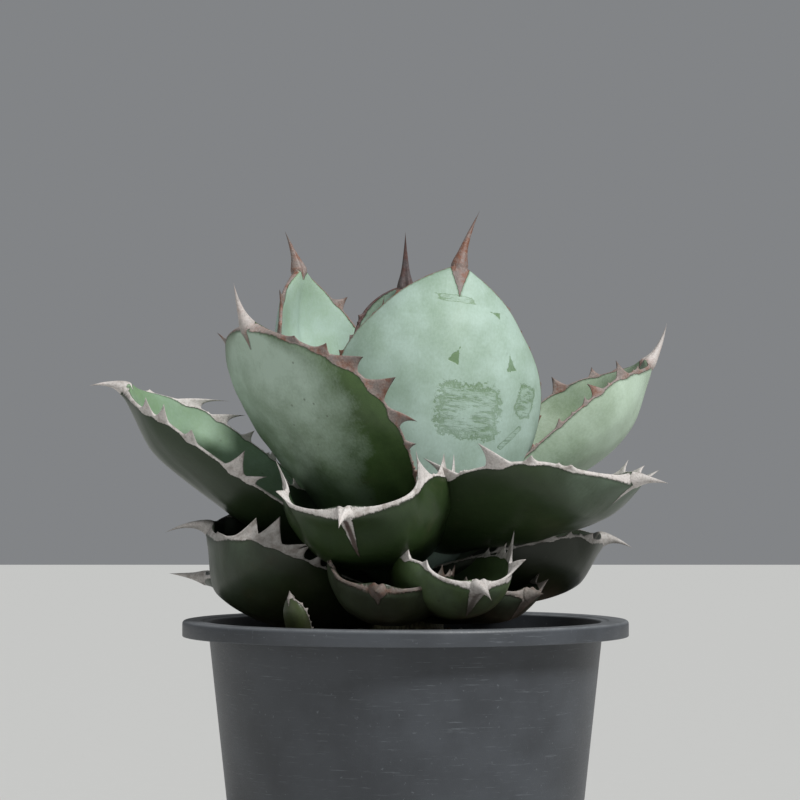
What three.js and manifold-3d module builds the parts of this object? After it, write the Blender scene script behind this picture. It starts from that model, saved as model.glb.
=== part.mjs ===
// Potted agave: a compact rosette of thick, toothed, spine-tipped leaves in a round nursery pot.
// Millimetres and degrees, +Z up, origin at the centre of the pot's flat underside.
// The plant's front faces -Y. Azimuths turn from +X towards +Y, so -90 points to the front.

import * as THREE from "three";
import { mergeVertices } from "three/addons/utils/BufferGeometryUtils.js";
import Module from "manifold-3d";

// ---- Pot ------------------------------------------------------------------------------------
const POT_HEIGHT = 170;
const RIM_DIAMETER = 240; // over the turned-down lip
const LIP_WIDTH = 15; // flat top of the rim, mouth to outer edge
const LIP_DROP = 8.5; // depth of the turned-down skirt
const LIP_ROUND = 1.2; // rounding of the rim's outer top edge
const FOOT_DIAMETER = 176;
const POT_WALL = 1.6;
const POT_FLOOR = 3;
const DRAIN_HOLES = 6;
const DRAIN_DIAMETER = 14;
const DRAIN_CIRCLE = 118; // diameter of the circle that the drain holes lie on
const DRAIN_SIDES = 16;

// ---- Potting mix and stem -------------------------------------------------------------------
const CLEARANCE = 0.3; // gap between pieces that touch
const SOIL_DROP = 12; // mouth of the pot down to the potting mix
const SOIL_MOUND = 5; // how much higher the mix lies against the stem
const STEM_RADIUS = 21;
const STEM_DEPTH = 40; // stem below the surface of the mix
const STEM_HEIGHT = 66; // stem above the surface of the mix
const STEM_CROWN = 9; // radius of the growing point on top
const STEM_STRAIGHT = 0.3; // straight part, as a share of the height
const STEM_STEPS = [STEM_STRAIGHT, 0.5, 0.7, 0.85, 1]; // heights of its facets, as shares
const MOUND_PLACE = 0.45; // the mound is steepest this share of the way out to the pot's wall
const MOUND_LEFT = 0.35; // height still left there, as a share of the mound
const ROUND_SIDES = 56; // facets of everything round, so that their flats line up

// ---- What all leaves share ------------------------------------------------------------------
const LEAF_ROWS = 18; // steps along a blade
const SPINE_ROWS = 3; // steps along a terminal spine
const COLUMNS = [-1, -0.6, 0, 0.6, 1]; // across a blade, margin to margin
const BASE_THICKNESS = 12;
const TIP_THICKNESS = 5.5;
const TAPER = 0.8; // how early a blade thins from base to tip: 1 is even
const INNER_SHARE = 0.3; // share of the thickness that lies on the inner side of the middle surface
const MARGIN_THICKNESS = 1.6;
const SPINE_RADIUS = 3.4; // where the terminal spine leaves the blade
const SPINE_TAPER = 0.9;
const SPINE_EDGE = 0.7; // thickness at a spine's sides, as a share of its radius
const TIP_FROM = 0.8; // where a blade starts to draw in to its spine, as a share of its length
const TIP_CUP = 0.3; // cup left at the tip, as a share of the blade's
const TOOTH_LEAN = 0.45; // how far a tooth leans towards the tip, as a share of its height
const EVEN_TEETH = 6; // on each margin of a leaf with no teeth of its own
const TEETH_SPAN = [0.3, 0.93]; // part of the blade's length that carries them
const SMALLEST_TOOTH = 0.45; // as a share of the tallest
const BASE_REACH = 0.55; // where a leaf starts inside the stem, as a share of the stem's radius
const BLUNT = 0.6; // shape of the end of a blade: 0 tapers, 1 is almost square
const SAG = 0.6; // how far the midrib hangs below the spine's line, as a share of the cup's depth
const NECK = 0.5; // width at the base, as a share of the full width
const BROADEST = 0.56; // where a blade is broadest, as a share of its length

const NO_TEETH = [[0, 0], [0, 0]];
const QUARTER = Math.PI / 2;
const degrees = THREE.MathUtils.degToRad;
const lerp = THREE.MathUtils.lerp;
const clamp = THREE.MathUtils.clamp;

// Teeth of one margin: each is [place along the blade from 0 to 1, height, lean where it has its own].
// A leaf with no teeth of its own gets an even row of mixed heights. The seed sets the mix.
function evenTeeth(height, seed) {
  const teeth = [];
  for (let k = 0; k < EVEN_TEETH; k++) {
    const wobble = scatter(k + 1, seed);
    const share = (k + 0.2 + 0.6 * wobble) / EVEN_TEETH;
    const size = lerp(SMALLEST_TOOTH, 1, fraction(wobble * 7.3));
    teeth.push([lerp(...TEETH_SPAN, share), height * size]);
  }
  return teeth;
}

// An even-looking but repeatable number from 0 to 1.
function scatter(index, seed) {
  return fraction(Math.sin(index * 12.9898 + seed * 78.233) * 43758.5453);
}

function fraction(x) {
  return x - Math.floor(x);
}

// ---- The leaves, youngest first -------------------------------------------------------------
// azimuth: the way the leaf points. lift: base above the potting mix. rise, tipRise: slope of the
// midrib at the base and at the tip. lean: tilt of the whole leaf in its own plane. roll: turn about
// its midrib. cup: half angle of the arc that its section follows. neck: width at the base, and
// broadest: place of the greatest width, both as shares. spine: length of the terminal spine.
// spineRise, spineLean: its own slope and its tilt to the side. tooth: height of the tallest tooth.
// left, right: teeth of each margin as seen from the tip, looking at the inner face.
const LEAVES = [
  {
    name: "leaf_01_heart",
    azimuth: 30, lift: 50, rise: 80, tipRise: 96,
    length: 104, width: 36, thick: 0.6, cup: 85,
    spine: 18, tooth: 2,
  },
  {
    name: "leaf_02_heart",
    azimuth: 190, lift: 48, rise: 76, tipRise: 98,
    length: 118, width: 52, thick: 0.7, cup: 88,
    spine: 22, tooth: 3,
  },
  {
    name: "leaf_03_inner_back",
    azimuth: 90, lift: 44, rise: 70, tipRise: 98,
    length: 152, width: 84, cup: 62,
    spine: 30, tooth: 5,
  },
  {
    name: "leaf_04_centre",
    azimuth: -82, lift: 38, rise: 70, tipRise: 98, lean: 9,
    length: 168, width: 130, cup: 52, blunt: 0.25, neck: 0.3,
    spine: 32, spineLean: 14, tooth: 4,
  },
  {
    name: "leaf_05_back_left",
    azimuth: 144, lift: 40, rise: 62, tipRise: 76,
    length: 176, width: 100, cup: 42, blunt: 0.3,
    spine: 22, spineLean: 16, tooth: 9,
  },
  {
    name: "leaf_06_front_left",
    azimuth: -143, lift: 37, rise: 60, tipRise: 46, lean: 3, roll: -3,
    length: 163, width: 138, cup: 38, blunt: 0.5, neck: 0.28, broadest: 0.62,
    spine: 24, spineRise: 66, tooth: 10,
    right: [
      [0.4, 4], [0.48, 5, -0.3], [0.6, 12, -0.6], [0.7, 15, 0.1], [0.81, 14, -0.1], [0.88, 6],
      [0.93, 4],
    ],
  },
  {
    name: "leaf_07_back_right",
    azimuth: 71, lift: 36, rise: 46, tipRise: 66,
    length: 146, width: 88, cup: 42,
    spine: 24, tooth: 8,
  },
  {
    name: "leaf_08_right_upper",
    azimuth: 14, lift: 46, rise: 41, tipRise: 36, lean: 5, roll: 3,
    length: 171, width: 106, cup: 80, blunt: 0.4, neck: 0.3, broadest: 0.66,
    spine: 26, spineRise: 62, tooth: 10,
    left: [
      [0.45, 3], [0.55, 4], [0.66, 3], [0.74, 8, -0.4], [0.81, 8, 0.1], [0.9, 3],
    ],
    right: [
      [0.4, 5], [0.5, 6], [0.61, 10, -0.4], [0.78, 9, 0], [0.87, 5], [0.93, 3],
    ],
  },
  {
    name: "leaf_09_left",
    azimuth: 179, lift: 43, rise: 27, tipRise: 40, roll: -11,
    length: 170, width: 97, cup: 60, blunt: 0.4, neck: 0.32, broadest: 0.66,
    spine: 20, spineRise: 4, tooth: 10,
    left: [
      [0.4, 4], [0.52, 5], [0.61, 6, -0.3], [0.7, 10, -1.1], [0.83, 14, -1.3], [0.93, 3],
    ],
    right: [
      [0.34, 4], [0.5, 8, -1], [0.57, 14, 0], [0.7, 9, 0.2], [0.81, 8, 0.4], [0.9, 8, 0.5],
    ],
  },
  {
    name: "leaf_10_right_front",
    azimuth: -35, lift: 61, rise: 16, tipRise: 6, roll: -3,
    length: 140, width: 126, cup: 54, blunt: 0.4, neck: 0.6, broadest: 0.62,
    spine: 20, spineRise: -7, tooth: 9,
    left: [
      [0.28, 7, -0.8], [0.44, 12, -0.9], [0.66, 15, -0.4], [0.8, 5], [0.9, 3],
    ],
    right: [
      [0.4, 6], [0.55, 8], [0.7, 7], [0.84, 6], [0.92, 12, 0.2],
    ],
  },
  {
    name: "leaf_11_front",
    azimuth: -104, lift: 57, rise: 23, tipRise: -7, lean: -4, roll: 2,
    length: 98, width: 132, cup: 86, neck: 0.3,
    spine: 12, spineRise: -40, tooth: 9,
    left: [
      [0.5, 6], [0.6, 4], [0.76, 13, 0.8], [0.88, 7, 0.9],
    ],
    right: [
      [0.33, 5], [0.39, 6], [0.5, 12, 0.1], [0.68, 10, -0.2], [0.85, 14, 0.6],
    ],
  },
  {
    name: "leaf_12_back",
    azimuth: 112, lift: 34, rise: 22, tipRise: 34,
    length: 140, width: 94, cup: 50,
    spine: 22, tooth: 9,
  },
  {
    name: "leaf_13_back_right_low",
    azimuth: 51, lift: 30, rise: 12, tipRise: 24,
    length: 128, width: 88, cup: 52,
    spine: 22, tooth: 9,
  },
  {
    name: "leaf_14_left_low",
    azimuth: -165, lift: 25, rise: 9, tipRise: 34, lean: -9, roll: -12,
    length: 102, width: 140, cup: 86, neck: 0.3, broadest: 0.66,
    spine: 24, spineRise: -7, tooth: 13,
    left: [
      [0.45, 5], [0.62, 7], [0.78, 14, 0.3], [0.9, 13, 0.8],
    ],
    right: [
      [0.42, 6, -0.4], [0.53, 8, -0.8], [0.62, 10, -1.3], [0.71, 18, 0], [0.83, 12, 0], [0.93, 5],
    ],
  },
  {
    name: "leaf_15_right_low",
    azimuth: 1, lift: 36, rise: 8, tipRise: 15, lean: 4, roll: 6,
    length: 98, width: 113, cup: 74,
    spine: 18, spineRise: -18, tooth: 7,
  },
  {
    name: "leaf_16_front_right_mid",
    azimuth: -44, lift: 24, rise: 4, tipRise: 2,
    length: 78, width: 64, cup: 62,
    spine: 10, tooth: 6,
  },
  {
    name: "leaf_17_front_right_low",
    azimuth: -69, lift: 36, rise: 5, tipRise: -8,
    length: 94, width: 84, cup: 86, blunt: 0.3, neck: 0.35, broadest: 0.66,
    spine: 17, spineRise: -24, tooth: 13,
    left: [
      [0.4, 5], [0.55, 4], [0.68, 11, 0.3], [0.85, 4, 0.4],
    ],
    right: [
      [0.45, 5], [0.6, 8], [0.73, 13, 0.2], [0.87, 10, 0.8],
    ],
  },
  {
    name: "leaf_18_back_left_low",
    azimuth: 126, lift: 24, rise: 4, tipRise: 16,
    length: 100, width: 80, cup: 54,
    spine: 20, tooth: 8,
  },
  {
    name: "leaf_19_back_low",
    azimuth: 86, lift: 20, rise: 0, tipRise: 14,
    length: 106, width: 78, cup: 54,
    spine: 18, tooth: 8,
  },
  {
    name: "leaf_20_left_lowest",
    azimuth: 163, lift: 22, rise: 8, tipRise: 5,
    length: 104, width: 66, cup: 60,
    spine: 22, tooth: 7,
  },
  {
    name: "leaf_21_front_lowest",
    azimuth: -99, lift: 29, rise: 5, tipRise: -2, roll: -6,
    length: 80, width: 88, cup: 76,
    spine: 10, tooth: 7,
  },
  {
    name: "leaf_22_offset",
    azimuth: -129, reach: 82, lift: -3, rise: 64, tipRise: 72,
    length: 32, width: 18, thick: 0.45, cup: 50,
    spine: 4, tooth: 1.5,
  },
];

// ---- Leaf geometry --------------------------------------------------------------------------

// The midrib is one arc of a circle in the leaf's own plane, x outwards and z up, and the terminal
// spine runs straight on from it or turns to a slope of its own.
function midribPoint(leaf, along) {
  if (along > leaf.length && leaf.spineRise !== undefined) {
    const [x, z, end] = midribPoint(leaf, leaf.length);
    const share = Math.min((along - leaf.length) / leaf.spine, 1);
    const slope = lerp(end, degrees(leaf.spineRise), Math.sqrt(share));
    const over = along - leaf.length;
    return [x + over * Math.cos(slope), z + over * Math.sin(slope), slope];
  }
  const start = degrees(leaf.rise);
  const bend = degrees(leaf.tipRise - leaf.rise) / leaf.length;
  if (Math.abs(bend) < 1e-9) {
    return [along * Math.cos(start), along * Math.sin(start), start];
  }
  const slope = start + bend * along;
  return [
    (Math.sin(slope) - Math.sin(start)) / bend,
    (Math.cos(start) - Math.cos(slope)) / bend,
    slope,
  ];
}

// Half width of the blade as a share of the greatest: a neck, a broad middle, a rounded shoulder.
function outline(place, { blunt = BLUNT, neck = NECK, broadest = BROADEST }) {
  if (place < broadest) {
    return lerp(neck, 1, Math.sin(QUARTER * (place / broadest)));
  }
  const past = (place - broadest) / (1 - broadest);
  return Math.cos(QUARTER * past ** (1 + 0.5 * blunt)) ** (1 - 0.65 * blunt);
}

// The tooth that stands on this row of a margin, as [height, lean], or none.
function toothAt(teeth, row) {
  const tooth = teeth.find(([place]) => Math.round(place * LEAF_ROWS) === row);
  return tooth ? [tooth[1], tooth[1] * (tooth[2] ?? TOOTH_LEAN)] : [0, 0];
}

// One closed body, grown by `swell` on every side: a loft of sections along the midrib.
function leafGeometry(leaf, swell = 0) {
  const left = leaf.left ?? evenTeeth(leaf.tooth, leaf.azimuth);
  const right = leaf.right ?? evenTeeth(leaf.tooth, leaf.azimuth + 5);
  const cup = degrees(leaf.cup);
  const thick = leaf.thick ?? 1;
  const spineRadius = SPINE_RADIUS * thick;
  const rings = [];
  for (let row = 0; row <= LEAF_ROWS; row++) {
    const share = row / LEAF_ROWS;
    const near = THREE.MathUtils.smoothstep(share, TIP_FROM, 1);
    const blade = thick * lerp(BASE_THICKNESS, TIP_THICKNESS, share ** TAPER);
    rings.push(
      sectionRing(leaf, {
        along: row === 0 ? -swell : leaf.length * share,
        halfWidth: Math.max((leaf.width / 2) * outline(share, leaf), spineRadius),
        core: lerp(blade, 2 * spineRadius, near),
        edge: MARGIN_THICKNESS * thick,
        cup: lerp(cup, TIP_CUP * cup, near),
        round: near,
        teeth: [toothAt(left, row), toothAt(right, row)],
        swell,
      }),
    );
  }
  for (let row = 1; row < SPINE_ROWS; row++) {
    const share = row / SPINE_ROWS;
    const radius = spineRadius * (1 - share) ** SPINE_TAPER;
    const along = leaf.length + share * leaf.spine;
    const edge = SPINE_EDGE * radius;
    const shift = spineShift(leaf, share);
    const section = { along, halfWidth: radius, core: 2 * radius, edge, cup: 0, round: 1 };
    rings.push(sectionRing(leaf, { ...section, teeth: NO_TEETH, shift, swell }));
  }
  const [tipX, tipZ] = midribPoint(leaf, leaf.length + leaf.spine + 2 * swell);
  return standLeaf(skin(rings, new THREE.Vector3(tipX, spineShift(leaf, 1), tipZ)), leaf);
}

// How far a spine has curved to the side, at a share of its length.
function spineShift(leaf, share) {
  return leaf.spine * Math.tan(degrees(leaf.spineLean ?? 0)) * share ** 1.5;
}

// The points of one section across a leaf: its inner, upper face from margin to margin, then its
// outer face back again. The section follows an arc that opens inwards, thick in the middle.
function sectionRing(leaf, { along, halfWidth, core, edge, cup, round, teeth, shift = 0, swell }) {
  const [x, z, slope] = midribPoint(leaf, along);
  const forward = new THREE.Vector3(Math.cos(slope), 0, Math.sin(slope));
  const roll = degrees(leaf.roll ?? 0);
  const side = new THREE.Vector3(0, 1, 0).applyAxisAngle(forward, roll);
  const inward = new THREE.Vector3(-Math.sin(slope), 0, Math.cos(slope)).applyAxisAngle(forward, roll);
  const place = (v, face) => {
    const angle = cup * v;
    const flat = Math.abs(cup) < 0.02;
    const reach = flat ? halfWidth * v : (halfWidth * Math.sin(angle)) / cup;
    const bow = SAG * Math.cos(cup) + 1 - SAG - Math.cos(angle);
    const curl = flat ? 0 : (halfWidth * bow) / cup;
    const share = lerp(face > 0 ? INNER_SHARE : 1 - INNER_SHARE, 0.5, round);
    const half = lerp(edge / 2, core * share, Math.sqrt(1 - v * v)) + swell;
    const [tooth, toothLean] = Math.abs(v) === 1 ? teeth[v < 0 ? 0 : 1] : [0, 0];
    const out = Math.abs(v) === 1 ? tooth + swell : 0;
    const sideways = Math.sign(v) * Math.cos(angle) * out;
    const upwards = Math.abs(Math.sin(angle)) * out;
    return new THREE.Vector3(x, shift, z)
      .addScaledVector(side, reach - Math.sin(angle) * half * face + sideways)
      .addScaledVector(inward, curl + Math.cos(angle) * half * face + upwards)
      .addScaledVector(forward, toothLean);
  };
  return [...COLUMNS.map((v) => place(v, 1)), ...COLUMNS.toReversed().map((v) => place(v, -1))];
}

// Joins rings of points into one closed skin, flat at the first ring and pointed at the last.
function skin(rings, tip) {
  const size = rings[0].length;
  const last = (rings.length - 1) * size;
  const tipIndex = last + size;
  const faces = [];
  for (let k = 0; k < size; k++) {
    const next = (k + 1) % size;
    for (let start = 0; start < last; start += size) {
      faces.push(start + k, start + size + k, start + next);
      faces.push(start + next, start + size + k, start + size + next);
    }
    faces.push(last + k, tipIndex, last + next);
  }
  for (let k = 0; k + 1 < size / 2; k++) {
    const across = size - 1 - k;
    faces.push(k, k + 1, across);
    faces.push(k + 1, across - 1, across);
  }
  return new THREE.BufferGeometry().setFromPoints([...rings.flat(), tip]).setIndex(faces);
}

// Turns a leaf from its own plane to its place on the stem.
function standLeaf(geometry, leaf) {
  const rise = degrees(leaf.rise);
  const inward = new THREE.Vector3(-Math.sin(rise), 0, Math.cos(rise));
  geometry.applyQuaternion(new THREE.Quaternion().setFromAxisAngle(inward, degrees(leaf.lean ?? 0)));
  geometry.translate(leafReach(leaf), 0, POT_HEIGHT - SOIL_DROP + leaf.lift);
  geometry.rotateZ(degrees(leaf.azimuth));
  return geometry;
}

// A leaf starts inside the stem, so that its base can be cut to the stem's own surface. The offset's
// leaf comes up through the potting mix further out.
function leafReach(leaf) {
  return leaf.reach ?? BASE_REACH * stemRadiusAt(leaf.lift);
}

// ---- Solids ---------------------------------------------------------------------------------

const wasm = await Module();
wasm.setup();

function solid(geometry) {
  const bare = geometry.clone();
  bare.deleteAttribute("normal");
  bare.deleteAttribute("uv");
  const merged = mergeVertices(bare, 1e-4);
  return new wasm.Manifold(
    new wasm.Mesh({
      numProp: 3,
      vertProperties: merged.attributes.position.array,
      triVerts: new Uint32Array(merged.index.array),
    }),
  );
}

function geometryOf(manifold) {
  const mesh = manifold.getMesh();
  const geometry = new THREE.BufferGeometry();
  geometry.setAttribute("position", new THREE.BufferAttribute(mesh.vertProperties, 3));
  geometry.setIndex(new THREE.BufferAttribute(mesh.triVerts, 1));
  geometry.computeVertexNormals();
  return geometry;
}

// A cut can leave a loose flake beside the piece itself: the piece is the largest body.
function largestBody(manifold) {
  return manifold.decompose().reduce((a, b) => (b.volume() > a.volume() ? b : a));
}

// ---- Pot, potting mix and stem --------------------------------------------------------------

const rimRadius = RIM_DIAMETER / 2;
const mouthRadius = rimRadius - LIP_WIDTH;
const footRadius = FOOT_DIAMETER / 2;
const soilLevel = POT_HEIGHT - SOIL_DROP;

// Inner radius of the pot's tapered wall at a height above its underside.
function potInside(height) {
  return lerp(footRadius - POT_WALL, mouthRadius, clamp(height / POT_HEIGHT, 0, 1));
}

function lathe(profile, sides) {
  const points = profile.map(([radius, height]) => new THREE.Vector2(radius, height));
  return new THREE.LatheGeometry(points, sides).rotateX(QUARTER);
}

function potGeometry() {
  const underLip = POT_HEIGHT - POT_WALL;
  const profile = [
    [0, 0],
    [footRadius, 0],
    [potInside(underLip) + POT_WALL, underLip],
    [rimRadius - POT_WALL, underLip],
    [rimRadius - POT_WALL, POT_HEIGHT - LIP_DROP],
    [rimRadius, POT_HEIGHT - LIP_DROP],
    [rimRadius, POT_HEIGHT - LIP_ROUND],
    [rimRadius - LIP_ROUND, POT_HEIGHT],
    [mouthRadius, POT_HEIGHT],
    [potInside(POT_FLOOR), POT_FLOOR],
    [0, POT_FLOOR],
  ];
  let body = solid(lathe(profile, ROUND_SIDES));
  for (let hole = 0; hole < DRAIN_HOLES; hole++) {
    const turn = (2 * Math.PI * hole) / DRAIN_HOLES;
    const radius = DRAIN_DIAMETER / 2;
    const drill = new THREE.CylinderGeometry(radius, radius, 4 * POT_FLOOR, DRAIN_SIDES);
    drill.rotateX(QUARTER);
    drill.translate((DRAIN_CIRCLE / 2) * Math.cos(turn), (DRAIN_CIRCLE / 2) * Math.sin(turn), 0);
    body = body.subtract(solid(drill));
  }
  return geometryOf(body);
}

function soilGeometry(swell = 0) {
  const bottom = POT_FLOOR + CLEARANCE;
  const hole = STEM_RADIUS + CLEARANCE;
  const pit = soilLevel - STEM_DEPTH - CLEARANCE;
  const edge = potInside(soilLevel) - CLEARANCE;
  return lathe(
    [
      [0, bottom],
      [potInside(bottom) - CLEARANCE, bottom],
      [edge, soilLevel + swell],
      [lerp(hole, edge, MOUND_PLACE), soilLevel + MOUND_LEFT * SOIL_MOUND + swell],
      [hole, soilLevel + SOIL_MOUND + swell],
      [hole, pit],
      [0, pit],
    ],
    ROUND_SIDES,
  );
}

// Radius of the stem at a height above the potting mix: straight, then drawn in to the crown.
function stemRadiusAt(lift) {
  const straight = STEM_STRAIGHT * STEM_HEIGHT;
  const up = clamp((lift - straight) / (STEM_HEIGHT - straight), 0, 1);
  return lerp(STEM_RADIUS, STEM_CROWN, up * up);
}

function stemProfile(swell = 0) {
  const root = soilLevel - STEM_DEPTH - swell;
  const profile = [[0, root], [STEM_RADIUS + swell, root]];
  for (const share of STEM_STEPS) {
    const lift = share * STEM_HEIGHT;
    profile.push([stemRadiusAt(lift) + swell, soilLevel + lift + swell]);
  }
  profile.push([0, soilLevel + STEM_HEIGHT + 0.5 * STEM_CROWN + swell]);
  return profile;
}

function stemGeometry(swell) {
  return lathe(stemProfile(swell), ROUND_SIDES / 2);
}

// ---- The rosette ----------------------------------------------------------------------------

// Older leaves clasp younger ones, so each leaf is cut back to clear the stem and every younger leaf.
function leafGeometries() {
  const clearOf = [solid(stemGeometry(CLEARANCE)), solid(soilGeometry(CLEARANCE))];
  return LEAVES.map((leaf) => {
    const whole = solid(leafGeometry(leaf));
    let body = whole;
    for (const other of clearOf) {
      body = body.subtract(other);
    }
    clearOf.push(whole.add(solid(leafGeometry(leaf, CLEARANCE))));
    return geometryOf(largestBody(body));
  });
}

function piece(name, geometry, color, roughness) {
  const material = new THREE.MeshStandardMaterial({ color, roughness, metalness: 0 });
  const mesh = new THREE.Mesh(geometry, material);
  mesh.name = name;
  return mesh;
}

const pottedAgave = new THREE.Group();
pottedAgave.add(piece("pot", potGeometry(), 0x1c1f22, 0.55));
pottedAgave.add(piece("soil", soilGeometry(), 0x3a2c20, 0.95));
pottedAgave.add(piece("stem", stemGeometry(0), 0x8a8f5c, 0.7));

const rosette = new THREE.Group();
leafGeometries().forEach((geometry, k) => {
  rosette.add(piece(LEAVES[k].name, geometry, 0x6f8f7c, 0.6));
});
pottedAgave.add(rosette);

export default pottedAgave;
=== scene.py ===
"""Potted agave: a compact rosette of thick, toothed leaves in a round nursery pot.

Sizes are in millimetres and degrees until a mesh is made. Meshes are in metres, +Z up.
"""

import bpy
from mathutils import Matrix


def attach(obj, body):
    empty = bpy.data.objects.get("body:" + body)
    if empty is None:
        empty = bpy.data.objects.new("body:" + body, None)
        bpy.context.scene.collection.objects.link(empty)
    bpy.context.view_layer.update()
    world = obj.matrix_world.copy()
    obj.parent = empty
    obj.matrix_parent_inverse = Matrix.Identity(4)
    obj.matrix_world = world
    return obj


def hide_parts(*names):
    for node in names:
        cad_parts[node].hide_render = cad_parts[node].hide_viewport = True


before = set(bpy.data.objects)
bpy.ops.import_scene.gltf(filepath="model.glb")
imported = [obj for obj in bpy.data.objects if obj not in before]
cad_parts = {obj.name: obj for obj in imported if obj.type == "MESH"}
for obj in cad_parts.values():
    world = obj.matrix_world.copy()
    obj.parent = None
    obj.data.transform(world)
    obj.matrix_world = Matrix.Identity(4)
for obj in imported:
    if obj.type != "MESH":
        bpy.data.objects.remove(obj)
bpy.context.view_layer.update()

import logging
import math
from dataclasses import dataclass, field
from enum import Enum

import bmesh
import bpy
import numpy as np
from mathutils import Vector

LOG = logging.getLogger("potted_agave")
MM = 0.001

# ---- Sizes that the leaves share, as in the CAD model --------------------------------------------
BASE_THICKNESS = 12.0
TIP_THICKNESS = 5.5
MARGIN_THICKNESS = 1.6
SPINE_RADIUS = 3.4
TOOTH_LEAN = 0.45
SAG = 0.6
CAD_ROWS = 18
EVEN_TEETH = 6

Colour = tuple[float, float, float]
Point = tuple[float, float, float]
Values = float | np.ndarray
Input = bpy.types.NodeSocket | float | tuple


def lerp(a: Values, b: Values, t: Values) -> Values:
    """Returns the value a share t of the way from a to b."""
    return a + (b - a) * t


def smoothstep(x: np.ndarray, low: float, high: float) -> np.ndarray:
    """Eases from 0 at low to 1 at high.

    Args:
        x: Values to ease.
        low: Where the result leaves 0.
        high: Where the result reaches 1.

    Returns:
        Values from 0 to 1.
    """
    t = np.clip((x - low) / (high - low), 0, 1)
    return t * t * (3 - 2 * t)


# ---- Meshes --------------------------------------------------------------------------------------


class MeshMaker:
    """Turns arrays of points and faces into Blender objects."""

    @staticmethod
    def build(name: str, points: np.ndarray, faces: list, smooth: bool = True) -> bpy.types.Object:
        """Makes one mesh object.

        Args:
            name: The object's name.
            points: Vertices in metres, one row each.
            faces: Vertex numbers of each face.
            smooth: Whether faces are shaded smooth.

        Returns:
            The new object, linked to the scene.
        """
        mesh = bpy.data.meshes.new(name)
        mesh.from_pydata(np.asarray(points, float).tolist(), [], faces)
        mesh.update()
        if smooth:
            mesh.polygons.foreach_set("use_smooth", [True] * len(mesh.polygons))
        piece = bpy.data.objects.new(name, mesh)
        bpy.context.scene.collection.objects.link(piece)
        return piece

    @staticmethod
    def paint(piece: bpy.types.Object, name: str, values: np.ndarray) -> None:
        """Stores one number or one vector for each vertex.

        Args:
            piece: The object whose mesh is painted.
            name: The attribute's name.
            values: One number, or three, for each vertex.
        """
        values = np.asarray(values, np.float32)
        if values.ndim == 1:
            piece.data.attributes.new(name, "FLOAT", "POINT").data.foreach_set("value", values)
        else:
            layer = piece.data.attributes.new(name, "FLOAT_VECTOR", "POINT")
            layer.data.foreach_set("vector", values.ravel())

    @staticmethod
    def closed(name: str, rings: np.ndarray, start: Point, end: Point) -> bpy.types.Object:
        """Makes a closed body of rings that meet in one point at each end.

        Args:
            name: The object's name.
            rings: Points in millimetres, ring by ring.
            start: The point that closes the first ring.
            end: The point that closes the last ring.

        Returns:
            The new object, its faces turned outwards.
        """
        rows, size = rings.shape[:2]
        points = np.concatenate([rings.reshape(-1, 3), [start, end]]) * MM
        row = np.arange(rows - 1)[:, None] * size
        k = np.arange(size)[None, :]
        n = (k + 1) % size
        quads = [row + k, row + n, row + size + n, row + size + k]
        faces = np.stack([corner.ravel() for corner in quads], 1).tolist()
        last = (rows - 1) * size
        for here, following in zip(k[0].tolist(), n[0].tolist()):
            faces.append([following, here, rows * size])
            faces.append([last + here, last + following, rows * size + 1])
        piece = MeshMaker.build(name, points, faces)
        work = bmesh.new()
        work.from_mesh(piece.data)
        if work.calc_volume(signed=True) < 0:
            bmesh.ops.reverse_faces(work, faces=work.faces[:])
            work.to_mesh(piece.data)
        work.free()
        return piece


# ---- Leaf shape ----------------------------------------------------------------------------------


@dataclass(frozen=True)
class Tooth:
    """A marginal tooth: its place along the blade from 0 to 1, its height and its lean."""

    place: float
    height: float
    lean: float = TOOTH_LEAN


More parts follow.
